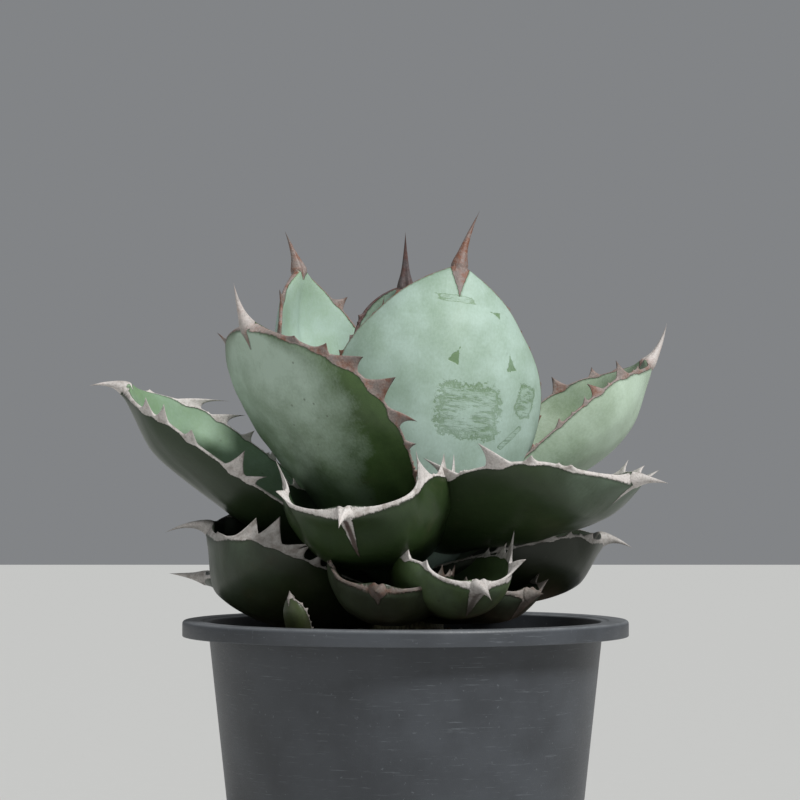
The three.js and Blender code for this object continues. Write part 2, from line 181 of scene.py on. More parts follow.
@dataclass(frozen=True)
class LeafShape:
    """The measured shape of one leaf, as the CAD model has it."""

    name: str
    azimuth: float
    lift: float
    rise: float
    tip_rise: float
    length: float
    width: float
    cup: float
    spine: float
    tooth: float
    thick: float = 1.0
    lean: float = 0.0
    roll: float = 0.0
    blunt: float = 0.6
    neck: float = 0.5
    broadest: float = 0.56
    spine_rise: float | None = None
    spine_lean: float = 0.0
    reach: float | None = None
    left: tuple = ()
    right: tuple = ()

    def outline(self, place: np.ndarray) -> np.ndarray:
        """Returns the half width at places along the blade, as a share of the greatest."""
        low = lerp(self.neck, 1, np.sin(math.pi / 2 * np.clip(place / self.broadest, 0, 1)))
        past = np.clip((place - self.broadest) / (1 - self.broadest), 0, 1)
        curve = np.cos(math.pi / 2 * past ** (1 + 0.5 * self.blunt))
        return np.where(place < self.broadest, low, np.clip(curve, 0, 1) ** (1 - 0.65 * self.blunt))

    def midrib(self, along: np.ndarray) -> tuple[np.ndarray, np.ndarray, np.ndarray]:
        """Follows the midrib in the leaf's own plane.

        Args:
            along: Distances from the base.

        Returns:
            Outward distance, height and slope in radians at each.
        """
        start = math.radians(self.rise)
        bend = math.radians(self.tip_rise - self.rise) / self.length
        if abs(bend) < 1e-9:
            x, z = along * math.cos(start), along * math.sin(start)
            slope = np.full_like(along, start)
        else:
            slope = start + bend * along
            x = (np.sin(slope) - math.sin(start)) / bend
            z = (math.cos(start) - np.cos(slope)) / bend
        if self.spine_rise is None:
            return x, z, slope
        over = np.maximum(along - self.length, 0)
        end_x, end_z, end_slope = (float(v[0]) for v in self._blade_end())
        turned = lerp(end_slope, math.radians(self.spine_rise), np.sqrt(np.clip(over / self.spine, 0, 1)))
        past = along > self.length
        x = np.where(past, end_x + over * np.cos(turned), x)
        z = np.where(past, end_z + over * np.sin(turned), z)
        return x, z, np.where(past, turned, slope)

    def _blade_end(self) -> tuple[np.ndarray, np.ndarray, np.ndarray]:
        """Returns the midrib's end, where the spine begins."""
        plain = LeafShape(**{**self.__dict__, "spine_rise": None})
        return plain.midrib(np.array([self.length]))

    def teeth(self, side: int) -> list[Tooth]:
        """Lists the teeth of one margin.

        Args:
            side: -1 for the left margin, 1 for the right.

        Returns:
            The teeth, each at the row of the CAD model that carries it.
        """
        own = self.left if side < 0 else self.right
        seed = self.azimuth + (5 if side > 0 else 0)
        if own:
            listed = [Tooth(*item) for item in own]
        else:
            listed = []
            for k in range(EVEN_TEETH):
                wobble = (math.sin((k + 1) * 12.9898 + seed * 78.233) * 43758.5453) % 1
                place = lerp(0.3, 0.93, (k + 0.2 + 0.6 * wobble) / EVEN_TEETH)
                listed.append(Tooth(place, self.tooth * lerp(0.45, 1, (wobble * 7.3) % 1)))
        return [Tooth(math.floor(t.place * CAD_ROWS + 0.5) / CAD_ROWS, t.height, t.lean) for t in listed]

    def stand(self, points: np.ndarray, stem: "StemSizes", soil_level: float) -> np.ndarray:
        """Turns points from the leaf's own plane to their place on the stem.

        Args:
            points: Points in the leaf's own frame.
            stem: Sizes of the stem that the leaf grows from.
            soil_level: Height of the potting mix.

        Returns:
            The same points in the frame of the whole plant.
        """
        rise, lean, turn = (math.radians(v) for v in (self.rise, self.lean, self.azimuth))
        axis = np.array([-math.sin(rise), 0, math.cos(rise)])
        cross = np.cross(axis, points)
        dot = points @ axis
        points = points * math.cos(lean) + cross * math.sin(lean)
        points = points + dot[:, None] * axis * (1 - math.cos(lean))
        reach = self.reach if self.reach is not None else 0.55 * stem.radius_at(self.lift)
        points = points + np.array([reach, 0, soil_level + self.lift])
        spun = points.copy()
        spun[:, 0] = points[:, 0] * math.cos(turn) - points[:, 1] * math.sin(turn)
        spun[:, 1] = points[:, 0] * math.sin(turn) + points[:, 1] * math.cos(turn)
        return spun


@dataclass(frozen=True)
class Mark:
    """A rubbed or pressed mark on an outer face, in millimetres across and along the leaf."""

    across: float
    along: float
    width: float
    height: float
    turn: float = 0.0
    ragged: bool = False


@dataclass(frozen=True)
class LeafLook:
    """How one leaf is coloured and how its horny edge grows."""

    flesh: Colour = (0.10, 0.17, 0.075)
    inner: Colour | None = None
    deep: Colour = (0.045, 0.085, 0.03)
    bloom: Colour = (0.50, 0.64, 0.56)
    bloom_base: float = 0.3
    bloom_tip: float = 0.7
    bloom_inner: float = 0.5
    copper: float = 0.3
    purple: float = 0.0
    cleft: float = 0.0
    # Wax taken off towards the margins, darkening them as painted shade where the leaf curves away from
    # the light.
    margin_shade: float = 0.0
    # Painted shade over the whole leaf, for a leaf that sits in shade.
    painted_shade: float = 0.0
    horn_base: float = 0.5
    horn_tip: float = 1.6
    decurrent: float = 16.0
    decurrent_width: float = 5.0
    denticles: int = 9
    frill: int = 0
    channel: float = 0.0
    scars: float = 0.25
    streaks: float = 0.16
    wave: float = 1.0
    spine_copper: float | None = None
    bloom_from: float = 0.3
    marks: tuple = ()


@dataclass
class StemSizes:
    """Sizes of the short stem inside the rosette."""

    radius: float = 21.0
    depth: float = 40.0
    height: float = 66.0
    crown: float = 9.0

    def radius_at(self, lift: float) -> float:
        """Returns the stem's radius at a height above the potting mix."""
        straight = 0.3 * self.height
        up = min(max((lift - straight) / (self.height - straight), 0), 1)
        return lerp(self.radius, self.crown, up * up)


# Shapes that every leaf has in common, in millimetres or as shares.
TALL_TOOTH = 2.5
TIP_STRETCH = 5.0
ROW_GAP = 0.17
SPINE_ROWS = 30
SPINE_FLARE = 0.35
FLARE_REACH = 6.0
SPINE_TAPER = 1.25
SPINE_POINT = 0.012
END_CUP = 0.3
INNER_SHARE, OUTER_SHARE = 0.3, 0.7
HORN_GAUGE = 3.0
STEEPEST_ROW = 4.0
KEEL_HEIGHT, KEEL_WIDTH = 0.9, 2.2
CHANNEL_WIDTH = 3.2
SPINE_GROOVE, GROOVE_WIDTH = 0.38, 0.4
STRIP_TURN = 0.245
SWELLS = ((70, 0.9), (46, 0.55), (30, 0.3), (17, 0.14), (10, 0.06))


@dataclass
class Grid:
    """Where the points of a leaf lie.

    For each column of points, v is its place across from -1 to 1, q is how far out it is on a margin's
    strip from 0 to 1, and f is the face it is on: 1 inner, -1 outer, 0 on the very edge. For each row,
    along is its distance from the base, share the same as a share of the blade, past its place along the
    spine from 0 to 1, and near how close it is to the blade's end.
    """

    v: np.ndarray
    q: np.ndarray
    f: np.ndarray
    along: np.ndarray
    share: np.ndarray
    past: np.ndarray
    near: np.ndarray

    def of_margin(self, values: dict) -> np.ndarray:
        """Gives every column the row values of the margin on its own side."""
        return np.where(self.v > 0, values[1][:, None], values[-1][:, None])

    def on_blade(self) -> np.ndarray:
        """Returns a mask of the blade's two faces, without the margin's strips and the spine."""
        return (self.q == 0) & (self.past <= 0)


@dataclass
class MarginTeeth:
    """How far each point stands out on a margin, and how its tooth leans and bends."""

    out: np.ndarray
    rise: np.ndarray
    forward: np.ndarray
    inward: np.ndarray
    is_tooth: np.ndarray


@dataclass
class Leaf:
    """One leaf: its blade, horny margin, teeth and terminal spine as a single body."""

    shape: LeafShape
    look: LeafLook
    stem: StemSizes
    soil_level: float
    fine_step: float = 0.85
    coarse_step: float = 2.4
    column_step: float = 1.5
    strip: tuple = (0.16, 0.34, 0.52, 0.7, 0.86, 1.0)
    rng: np.random.Generator = field(init=False)

    def __post_init__(self) -> None:
        """Seeds the leaf's own random numbers from its name."""
        self.rng = np.random.default_rng(sum(ord(c) * (k + 7) for k, c in enumerate(self.shape.name)))

    @property
    def spine_radius(self) -> float:
        """Radius of the spine where it leaves the blade."""
        return SPINE_RADIUS * self.shape.thick

    # -- rows and columns --

    def _rows(self, teeth: list[Tooth]) -> np.ndarray:
        """Places the rows of points: closer together where the margin is toothed and at the tip.

        Args:
            teeth: Every tooth on both margins, denticles too.

        Returns:
            Distances from the base, in order.
        """
        length, spine = self.shape.length, self.shape.spine
        toothed = 0.22 * length
        end = length - TIP_STRETCH
        parts = [np.arange(0, toothed, self.coarse_step), np.arange(toothed, end, self.fine_step)]
        parts.append(end + TIP_STRETCH * np.linspace(0, 1, 13) ** 0.7)
        for tooth in teeth:
            spread = [-0.7, -0.3, 0, 0.3, 0.7] if tooth.height > TALL_TOOTH else [0]
            parts.append(tooth.place * length + np.array(spread))
        blade = np.unique(np.round(np.concatenate(parts), 2))
        blade = blade[(blade >= 0) & (blade <= length)]
        blade = blade[np.concatenate([[True], np.diff(blade) > ROW_GAP])]
        blade[-1] = length
        return np.concatenate([blade, length + spine * np.linspace(0, 1, SPINE_ROWS)[1:-1]])

    def _columns(self) -> tuple[np.ndarray, np.ndarray, np.ndarray]:
        """Places the points of one ring round the section, close together at the margins.

        Returns:
            The v, q and f of a Grid, one value for each point.
        """
        half = self.shape.width / 2
        near = np.array([0, 0.35, 0.75, 1.2, 1.7, 2.3, 3.0, 3.8, 4.8])
        near = near[near < half * 0.6]
        middle = np.arange(near[-1] + self.column_step, half, self.column_step)
        one_side = 1 - np.concatenate([near, middle]) / half
        face = np.unique(np.round(np.concatenate([-one_side, [0], one_side]), 5))
        out = np.array(self.strip)
        back = out[:-1][::-1]
        strip = np.concatenate([out, back])
        one, edge, side = np.ones(len(face)), np.ones(len(strip)), np.ones(len(back))
        v = np.concatenate([face, edge, face[::-1], -edge])
        q = np.concatenate([0 * one, strip, 0 * one, strip])
        f = np.concatenate([one, side, [0], -side, -one, -side, [0], side])
        return v, q, f

    def _grid(self, teeth: list[Tooth]) -> Grid:
        """Lays out the leaf's rows and columns.

        Args:
            teeth: Every tooth on both margins, denticles too.

        Returns:
            The grid of points.
        """
        along = self._rows(teeth)[:, None]
        share = np.clip(along / self.shape.length, 0, 1)
        past = np.clip((along - self.shape.length) / self.shape.spine, 0, 1)
        return Grid(*self._columns(), along, share, past, smoothstep(share, 0.8, 1))

    # -- teeth --

    def _denticles(self, main: list[Tooth]) -> list[Tooth]:
        """Adds the small teeth that stand between the main ones.

        Args:
            main: The main teeth of one margin.

        Returns:
            Small teeth that keep clear of the main ones.
        """
        small = []
        spots = self.rng.uniform(0.24, 0.9, self.look.denticles)
        spots = np.concatenate([spots, self.rng.uniform(0.05, 0.42, self.look.frill)])
        heights = self.rng.uniform(0.5, 1.9, len(spots)) * math.sqrt(self.shape.thick)
        leans = self.rng.uniform(-0.4, 0.9, len(spots))
        for place, height, lean in zip(spots, heights, leans):
            if all(abs(place - t.place) * self.shape.length > 0.3 * t.height + 1.5 for t in main):
                small.append(Tooth(float(place), float(height), float(lean)))
        return small

    def _tooth_field(self, along: np.ndarray, teeth: list[Tooth]) -> tuple[np.ndarray, ...]:
        """Works out how far the margin stands out on each row.

        Args:
            along: Distance of each row from the base.
            teeth: All the teeth of this margin.

        Returns:
            Height on each row, and the full height, lean and sideways bend of its tooth.
        """
        share = along / self.shape.length
        lip = 0.45 + 0.35 * smoothstep(share, 0.4, 1.0) * self.look.horn_tip / HORN_GAUGE
        height = np.where(share <= 1, lip * self.shape.thick, 0.0)
        full = np.full_like(along, 1.0)
        lean = np.zeros_like(along)
        bend = np.zeros_like(along)
        for tooth in teeth:
            x = along - tooth.place * self.shape.length
            small = tooth.height < TALL_TOOTH
            reach = 0.9 + 0.4 * tooth.height if small else 2.0 + 0.42 * tooth.height
            width = np.where(x < 0, reach * 1.2, reach * 0.85)
            rise = tooth.height * np.clip(1 - np.abs(x) / width, 0, 1) ** (1.3 if small else 1.75)
            swing = self.rng.uniform(-0.22, 0.3)
            taller = (rise > height) & (share <= 1)
            height = np.where(taller, rise, height)
            full = np.where(taller, tooth.height, full)
            lean = np.where(taller, tooth.lean, lean)
            bend = np.where(taller, swing, bend)
        return height, full, lean, bend

    def _margin_teeth(self, grid: Grid, teeth: dict[int, list[Tooth]]) -> MarginTeeth:
        """Spreads the teeth of both margins over the grid.

        Args:
            grid: The leaf's grid.
            teeth: All the teeth of each margin.

        Returns:
            What the teeth do at every point.
        """
        fields = {side: self._tooth_field(grid.along[:, 0], teeth[side]) for side in (-1, 1)}
        height, full, lean, bend = (
            grid.of_margin({side: values[k] for side, values in fields.items()}) for k in range(4)
        )
        out = height * grid.q
        rise = np.clip(out / full, 0, 1)
        forward = np.where(grid.q > 0, lean * full * rise**1.6, 0)
        inward = np.where(grid.q > 0, bend * full * rise**2, 0)
        return MarginTeeth(out, rise, forward, inward, smoothstep(height, 1.2, 4.0))

    # -- section --

    def _flare(self, grid: Grid) -> np.ndarray:
        """Returns how much the spine's foot widens on each row."""
        return 1 + SPINE_FLARE * np.exp(-(((grid.along - self.shape.length) / FLARE_REACH) ** 2))

    def _half_width(self, grid: Grid) -> np.ndarray:
        """Returns half the width of the blade, or the radius of the spine, on each row."""
        foot = self.spine_radius * self._flare(grid)
        blade = np.maximum(self.shape.width / 2 * self.shape.outline(grid.share), foot)
        needle = foot * np.clip(1 - grid.past, SPINE_POINT, 1) ** SPINE_TAPER
        return np.where(grid.past > 0, needle, blade)

    def _half_thickness(self, grid: Grid, teeth: MarginTeeth) -> np.ndarray:
        """Works out how far each face stands from the middle of the section.

        Args:
            grid: The leaf's grid.
            teeth: What the teeth do at every point.

        Returns:
            Distances in millimetres.
        """
        shape, q = self.shape, grid.q
        thickness = lerp(BASE_THICKNESS, TIP_THICKNESS, grid.share**0.8)
        core = lerp(shape.thick * thickness, 2 * self.spine_radius, grid.near)
        swollen = 0.35 * self.look.horn_tip / HORN_GAUGE * smoothstep(grid.share, 0.4, 1)
        edge = MARGIN_THICKNESS * shape.thick * (1 + swollen)
        own_share = lerp(np.where(grid.f > 0, INNER_SHARE, OUTER_SHARE), 0.5, grid.near)
        face = lerp(edge / 2, core * own_share, 1 - np.abs(grid.v) ** 3)
        round_edge = np.sqrt(np.clip(1 - q**2, 0, 1))
        sharp_edge = (1 - q) ** 0.75 * (1 + 0.5 * q)
        return np.where(q > 0, edge / 2 * lerp(round_edge, sharp_edge, teeth.is_tooth), face)

    # -- surface --

    def _undulation(self, y: np.ndarray, along: np.ndarray) -> np.ndarray:
        """Returns the gentle swells and dents of a blade, in millimetres.

        Args:
            y: Distance across from the midrib.
            along: Distance from the base.

        Returns:
            How far the surface is moved at each point.
        """
        total = np.zeros(np.broadcast(y, along).shape)
        for size, amount in SWELLS:
            for _ in range(2):
                turn = self.rng.uniform(0, math.pi)
                phase = self.rng.uniform(0, 2 * math.pi)
                across, up = 1.3 * math.cos(turn) * y, 0.7 * math.sin(turn) * along
                total = total + amount * np.sin(2 * math.pi / size * (across + up) + phase)
        return 0.55 * self.look.wave * self.shape.thick * total

    def _horn_width(self, along: np.ndarray, teeth: list[Tooth]) -> np.ndarray:
        """Returns how far in from the margin the horny edge reaches on each row.

        Args:
            along: Distance of each row from the base.
            teeth: The main teeth of this margin.

        Returns:
            Widths in millimetres.
        """
        share = along / self.shape.length
        width = lerp(self.look.horn_base, self.look.horn_tip, smoothstep(share, 0.35, 0.98))
        width = width * (1 + 0.25 * np.sin(along / 3.1 + self.shape.azimuth) * np.sin(along / 7.3))
        for tooth in teeth:
            if tooth.height > TALL_TOOTH:
                x = along - tooth.place * self.shape.length
                width = width + 0.13 * tooth.height * np.exp(-((x / (0.3 * tooth.height + 1.0)) ** 2))
        return width

    def _horn_depth(
        self, grid: Grid, teeth: MarginTeeth, main: dict, half_width: np.ndarray
    ) -> np.ndarray:
        """Works out how deep inside the horn each point is.

        Args:
            grid: The leaf's grid.
            teeth: What the teeth do at every point.
            main: The main teeth of each margin.
            half_width: Half the leaf's width on each row.

        Returns:
            Distances in millimetres, below 0 on the green blade.
        """
        row_slope = np.gradient(half_width[:, 0], grid.along[:, 0])[:, None]
        row_slope = np.clip(row_slope, -STEEPEST_ROW, STEEPEST_ROW)
        margin = half_width * (1 - np.abs(grid.v)) / np.sqrt(1 + row_slope**2)
        margin = np.where(grid.q > 0, -teeth.out, margin)
        widths = {side: self._horn_width(grid.along[:, 0], main[side]) for side in (-1, 1)}
        horn = grid.of_margin(widths) - margin
        below = np.clip(self.shape.length - grid.along, 0, None)
        reach = self.look.decurrent * np.where(grid.f < 0, 1.0, 0.45)
        tongue = self.look.decurrent_width * np.clip(1 - below / reach, 0, 1) ** 1.3
        horn = np.where(tongue > 0.05, np.maximum(horn, tongue - np.abs(half_width * grid.v)), horn)
        return np.where(grid.past > 0, np.maximum(horn, HORN_GAUGE), horn)

    def _lift(self, grid: Grid, half: np.ndarray, horn: np.ndarray, y: np.ndarray) -> np.ndarray:
        """Works out how far each point stands in from the middle of the section.

        Args:
            grid: The leaf's grid.
            half: How far each face stands from the middle before it is worked.
            horn: How deep inside the horn each point is.
            y: Distance across from the midrib.

        Returns:
            Distances in millimetres, below 0 on the outer face.
        """
        blade = (1 - smoothstep(grid.share, 0.9, 1)) * smoothstep(grid.share, 0.02, 0.2) * grid.on_blade()
        swell = self._undulation(y, grid.along) * blade * (1 - np.abs(grid.v) ** 6)
        raised = 0.4 * self.look.horn_tip / HORN_GAUGE * smoothstep(horn, -0.5, 0.9) * grid.on_blade()
        channel = self.look.channel * np.exp(-((y / CHANNEL_WIDTH) ** 2)) * (grid.f > 0) * blade
        keel = KEEL_HEIGHT * np.exp(-((y / KEEL_WIDTH) ** 2)) * smoothstep(grid.share, 0.82, 0.97)
        keel = keel * (grid.f < 0) * (grid.past <= 0)
        return grid.f * (half + (raised - channel + keel) * (1 - grid.near * 0.5)) + swell

    def _points(
        self, grid: Grid, teeth: MarginTeeth, half_width: np.ndarray, lift: np.ndarray
    ) -> np.ndarray:
        """Bends the section into its cup, rounds it into the spine and carries it along the midrib.

        Args:
            grid: The leaf's grid.
            teeth: What the teeth do at every point.
            half_width: Half the leaf's width on each row.
            lift: How far each point stands in from the middle of the section.

        Returns:
            Points in the leaf's own frame.
        """
        shape, v, q, f = self.shape, grid.v, grid.q, grid.f
        cup = lerp(math.radians(shape.cup), END_CUP * math.radians(shape.cup), grid.near)
        angle = cup * v
        curl = half_width * (SAG * np.cos(cup) + 1 - SAG - np.cos(angle)) / cup
        sideways = half_width * np.sin(angle) / cup - np.sin(angle) * lift
        sideways = sideways + np.sign(v) * np.cos(angle) * teeth.out
        inwards = curl + np.cos(angle) * lift + np.abs(np.sin(angle)) * teeth.out + teeth.inward

        strip_turn = np.where(v > 0, STRIP_TURN * (1 - q), math.pi - STRIP_TURN * (1 - q))
        turn = np.where(q > 0, strip_turn, np.arccos(np.clip(v * 0.97, -1, 1))) * np.where(f < 0, -1, 1)
        groove = SPINE_GROOVE * np.exp(-((np.cos(turn) / GROOVE_WIDTH) ** 2)) * (f > 0)
        groove = groove * np.clip(1 - 1.4 * grid.past, 0, 1)
        depth = np.minimum(half_width, self.spine_radius * self._flare(grid))
        fuse = np.where(grid.past > 0, 1.0, smoothstep(grid.share, 0.955, 1.0))
        sideways = lerp(sideways, half_width * np.cos(turn), fuse)
        inwards = lerp(inwards, depth * np.sin(turn) * (1 - groove) + curl * (1 - fuse), fuse)
        forward = teeth.forward * (1 - fuse)

        x, z, slope = (part[:, None] for part in shape.midrib(grid.along[:, 0]))
        roll = math.radians(shape.roll)
        shift = shape.spine * math.tan(math.radians(shape.spine_lean)) * grid.past**1.5
        flat = sideways * math.sin(roll) + inwards * math.cos(roll)
        across = shift + sideways * math.cos(roll) - inwards * math.sin(roll)
        return np.stack([
            x - np.sin(slope) * flat + forward * np.cos(slope),
            across,
            z + np.cos(slope) * flat + forward * np.sin(slope),
        ], -1)

    def build(self) -> bpy.types.Object:
        """Makes the leaf's mesh and paints the fields that its material reads.

        Returns:
            The finished leaf, in place on the stem.
        """
        shape = self.shape
        main = {side: shape.teeth(side) for side in (-1, 1)}
        every = {side: main[side] + self._denticles(main[side]) for side in (-1, 1)}
        grid = self._grid(every[-1] + every[1])
        teeth = self._margin_teeth(grid, every)
        half_width = self._half_width(grid)
        y = half_width * grid.v
        horn = self._horn_depth(grid, teeth, main, half_width)
        lift = self._lift(grid, self._half_thickness(grid, teeth), horn, y)
        points = self._points(grid, teeth, half_width, lift)

        tip_x, tip_z, _ = shape.midrib(np.array([shape.length + shape.spine]))
        tip = [tip_x[0], shape.spine * math.tan(math.radians(shape.spine_lean)), tip_z[0]]
        flat = np.concatenate([points.reshape(-1, 3), [points[0].mean(0)], [tip]])
        placed = shape.stand(flat, self.stem, self.soil_level)
        piece = MeshMaker.closed(shape.name, placed[:-2].reshape(points.shape), placed[-2], placed[-1])
        self._paint_fields(piece, grid, teeth, horn, y)
        return piece

    def _paint_fields(
        self, piece: bpy.types.Object, grid: Grid, teeth: MarginTeeth, horn: np.ndarray, y: np.ndarray
    ) -> None:
        """Paints what the leaf's material reads.

        Args:
            piece: The leaf's mesh.
            grid: The leaf's grid.
            teeth: What the teeth do at every point.
            horn: How deep inside the horn each point is.
            y: Distance across from the midrib.
        """
        size = (len(grid.along), len(grid.v))

        def paint(name: str, values: np.ndarray, at_base: float | list, at_tip: float | list) -> None:
            """Paints one field, with values of its own for the points that close the base and the tip."""
            flat = values.reshape((size[0] * size[1],) + values.shape[2:])
            MeshMaker.paint(piece, name, np.concatenate([flat, [at_base], [at_tip]]))

        def fill(*parts: np.ndarray) -> np.ndarray:
            """Stacks fields into one vector for each point."""
            return np.stack([np.broadcast_to(part, size) for part in parts], -1)

        arc = y + np.sign(grid.v) * np.where(grid.q > 0, teeth.out, 0)
        whole = self.shape.length + self.shape.spine
        paint("skin", fill(arc * MM, grid.along * MM, grid.f * 0.02), [0, 0, 0], [0, whole * MM, 0])
        place = fill(grid.v, grid.share + grid.past * 0.2, 0.5 + 0.5 * grid.f)
        paint("place", place, [0, 0, 0.5], [0, 1.2, 0.5])
        paint("horn", horn, -9.0, 4.0)
        point = np.maximum(np.where(grid.q > 0, teeth.rise * teeth.is_tooth, 0), grid.past)
        paint("point", point, 0.0, 1.0)


# ---- Shader graphs -------------------------------------------------------------------------------


class Graph:
    """Adds nodes to a tree and joins them in short calls."""

    def __init__(self, tree: bpy.types.NodeTree) -> None:
        """Keeps the tree that nodes are added to."""
        self.tree = tree

    def put(self, socket: bpy.types.NodeSocket, value: Input) -> None:
        """Links a socket to another one, or sets its own value."""
        if isinstance(value, bpy.types.NodeSocket):
            self.tree.links.new(value, socket)
        elif isinstance(value, tuple) and len(value) == 3 and socket.type == "RGBA":
            socket.default_value = (*value, 1.0)
        else:
            socket.default_value = value

    def node(self, kind: str, inputs: dict | None = None, **settings: str | bool) -> bpy.types.Node:
        """Adds a node.

        Args:
            kind: The node's type, without its ShaderNode prefix.
            inputs: Values or sockets by input name or number.
            **settings: Properties of the node.

        Returns:
            The new node.
        """
        new = self.tree.nodes.new("ShaderNode" + kind)
        for name, value in settings.items():
            setattr(new, name, value)
        for name, value in (inputs or {}).items():
            self.put(new.inputs[name], value)
        return new

    def math(self, operation: str, a: Input, b: Input = 0.0, clamp: bool = False) -> bpy.types.NodeSocket:
        """Adds a Math node and returns its result."""
        return self.node("Math", {0: a, 1: b}, operation=operation, use_clamp=clamp).outputs[0]

    def times(self, a: Input, b: Input, clamp: bool = False) -> bpy.types.NodeSocket:
        """Returns a multiplied by b."""
        return self.math("MULTIPLY", a, b, clamp)

    def plus(self, a: Input, b: Input, clamp: bool = False) -> bpy.types.NodeSocket:
        """Returns the sum of a and b."""
        return self.math("ADD", a, b, clamp)

    def minus(self, a: Input, b: Input, clamp: bool = False) -> bpy.types.NodeSocket:
        """Returns a less b."""
        return self.math("SUBTRACT", a, b, clamp)

    def larger(self, a: Input, b: Input) -> bpy.types.NodeSocket:
        """Returns the larger of a and b."""
        return self.math("MAXIMUM", a, b)

    def part(self, vector: bpy.types.NodeSocket, axis: int) -> bpy.types.NodeSocket:
        """Returns one part of a vector: 0, 1 or 2 for X, Y or Z."""
        return self.node("SeparateXYZ", {0: vector}).outputs[axis]

    def noise(
        self, vector: bpy.types.NodeSocket, scale: float, detail: float = 3.0, rough: float = 0.55
    ) -> bpy.types.NodeSocket:
        """Adds a noise texture and returns its value from 0 to 1."""
        inputs = {"Vector": vector, "Scale": scale, "Detail": detail, "Roughness": rough}
        return self.node("TexNoise", inputs).outputs["Fac"]

    def stretch(self, vector: bpy.types.NodeSocket, scale: Point) -> bpy.types.NodeSocket:
        """Scales coordinates by a different amount along each axis."""
        return self.node("VectorMath", {0: vector, 1: scale}, operation="MULTIPLY").outputs[0]

    def ramp(
        self, value: Input, low: float, high: float, out_low: float = 0.0, out_high: float = 1.0
    ) -> bpy.types.NodeSocket:
        """Maps a range of values smoothly onto another.

        Args:
            value: The socket to map.
            low: Value that gives out_low.
            high: Value that gives out_high.
            out_low: Result at and below low.
            out_high: Result at and above high.

        Returns:
            The mapped value.
        """
        inputs = {0: value, 1: low, 2: high, 3: out_low, 4: out_high}
        return self.node("MapRange", inputs, interpolation_type="SMOOTHSTEP").outputs[0]

    def mix(self, share: Input, a: Input, b: Input) -> bpy.types.NodeSocket:
        """Mixes two colours and returns the result."""
        return self.node("Mix", {0: share, 6: a, 7: b}, data_type="RGBA").outputs[2]

    def blend(self, share: Input, a: Input, b: Input) -> bpy.types.NodeSocket:
        """Mixes two values and returns the result."""
        return self.node("Mix", {0: share, 2: a, 3: b}).outputs[0]

    def shade(self, colour: bpy.types.NodeSocket, value: bpy.types.NodeSocket) -> bpy.types.NodeSocket:
        """Multiplies a colour by a value."""
        return self.node("VectorMath", {0: colour, "Scale": value}, operation="SCALE").outputs[0]

    def attribute(self, name: str) -> bpy.types.Node:
        """Reads a painted field of the mesh."""
        return self.node("Attribute", attribute_name=name, attribute_type="GEOMETRY")

    def use(self, group: bpy.types.NodeTree, **inputs: Input) -> bpy.types.Node:
        """Places a node group and sets its inputs by name."""
        new = self.tree.nodes.new("ShaderNodeGroup")
        new.node_tree = group
        for name, value in inputs.items():
            self.put(new.inputs[name], value)
        return new


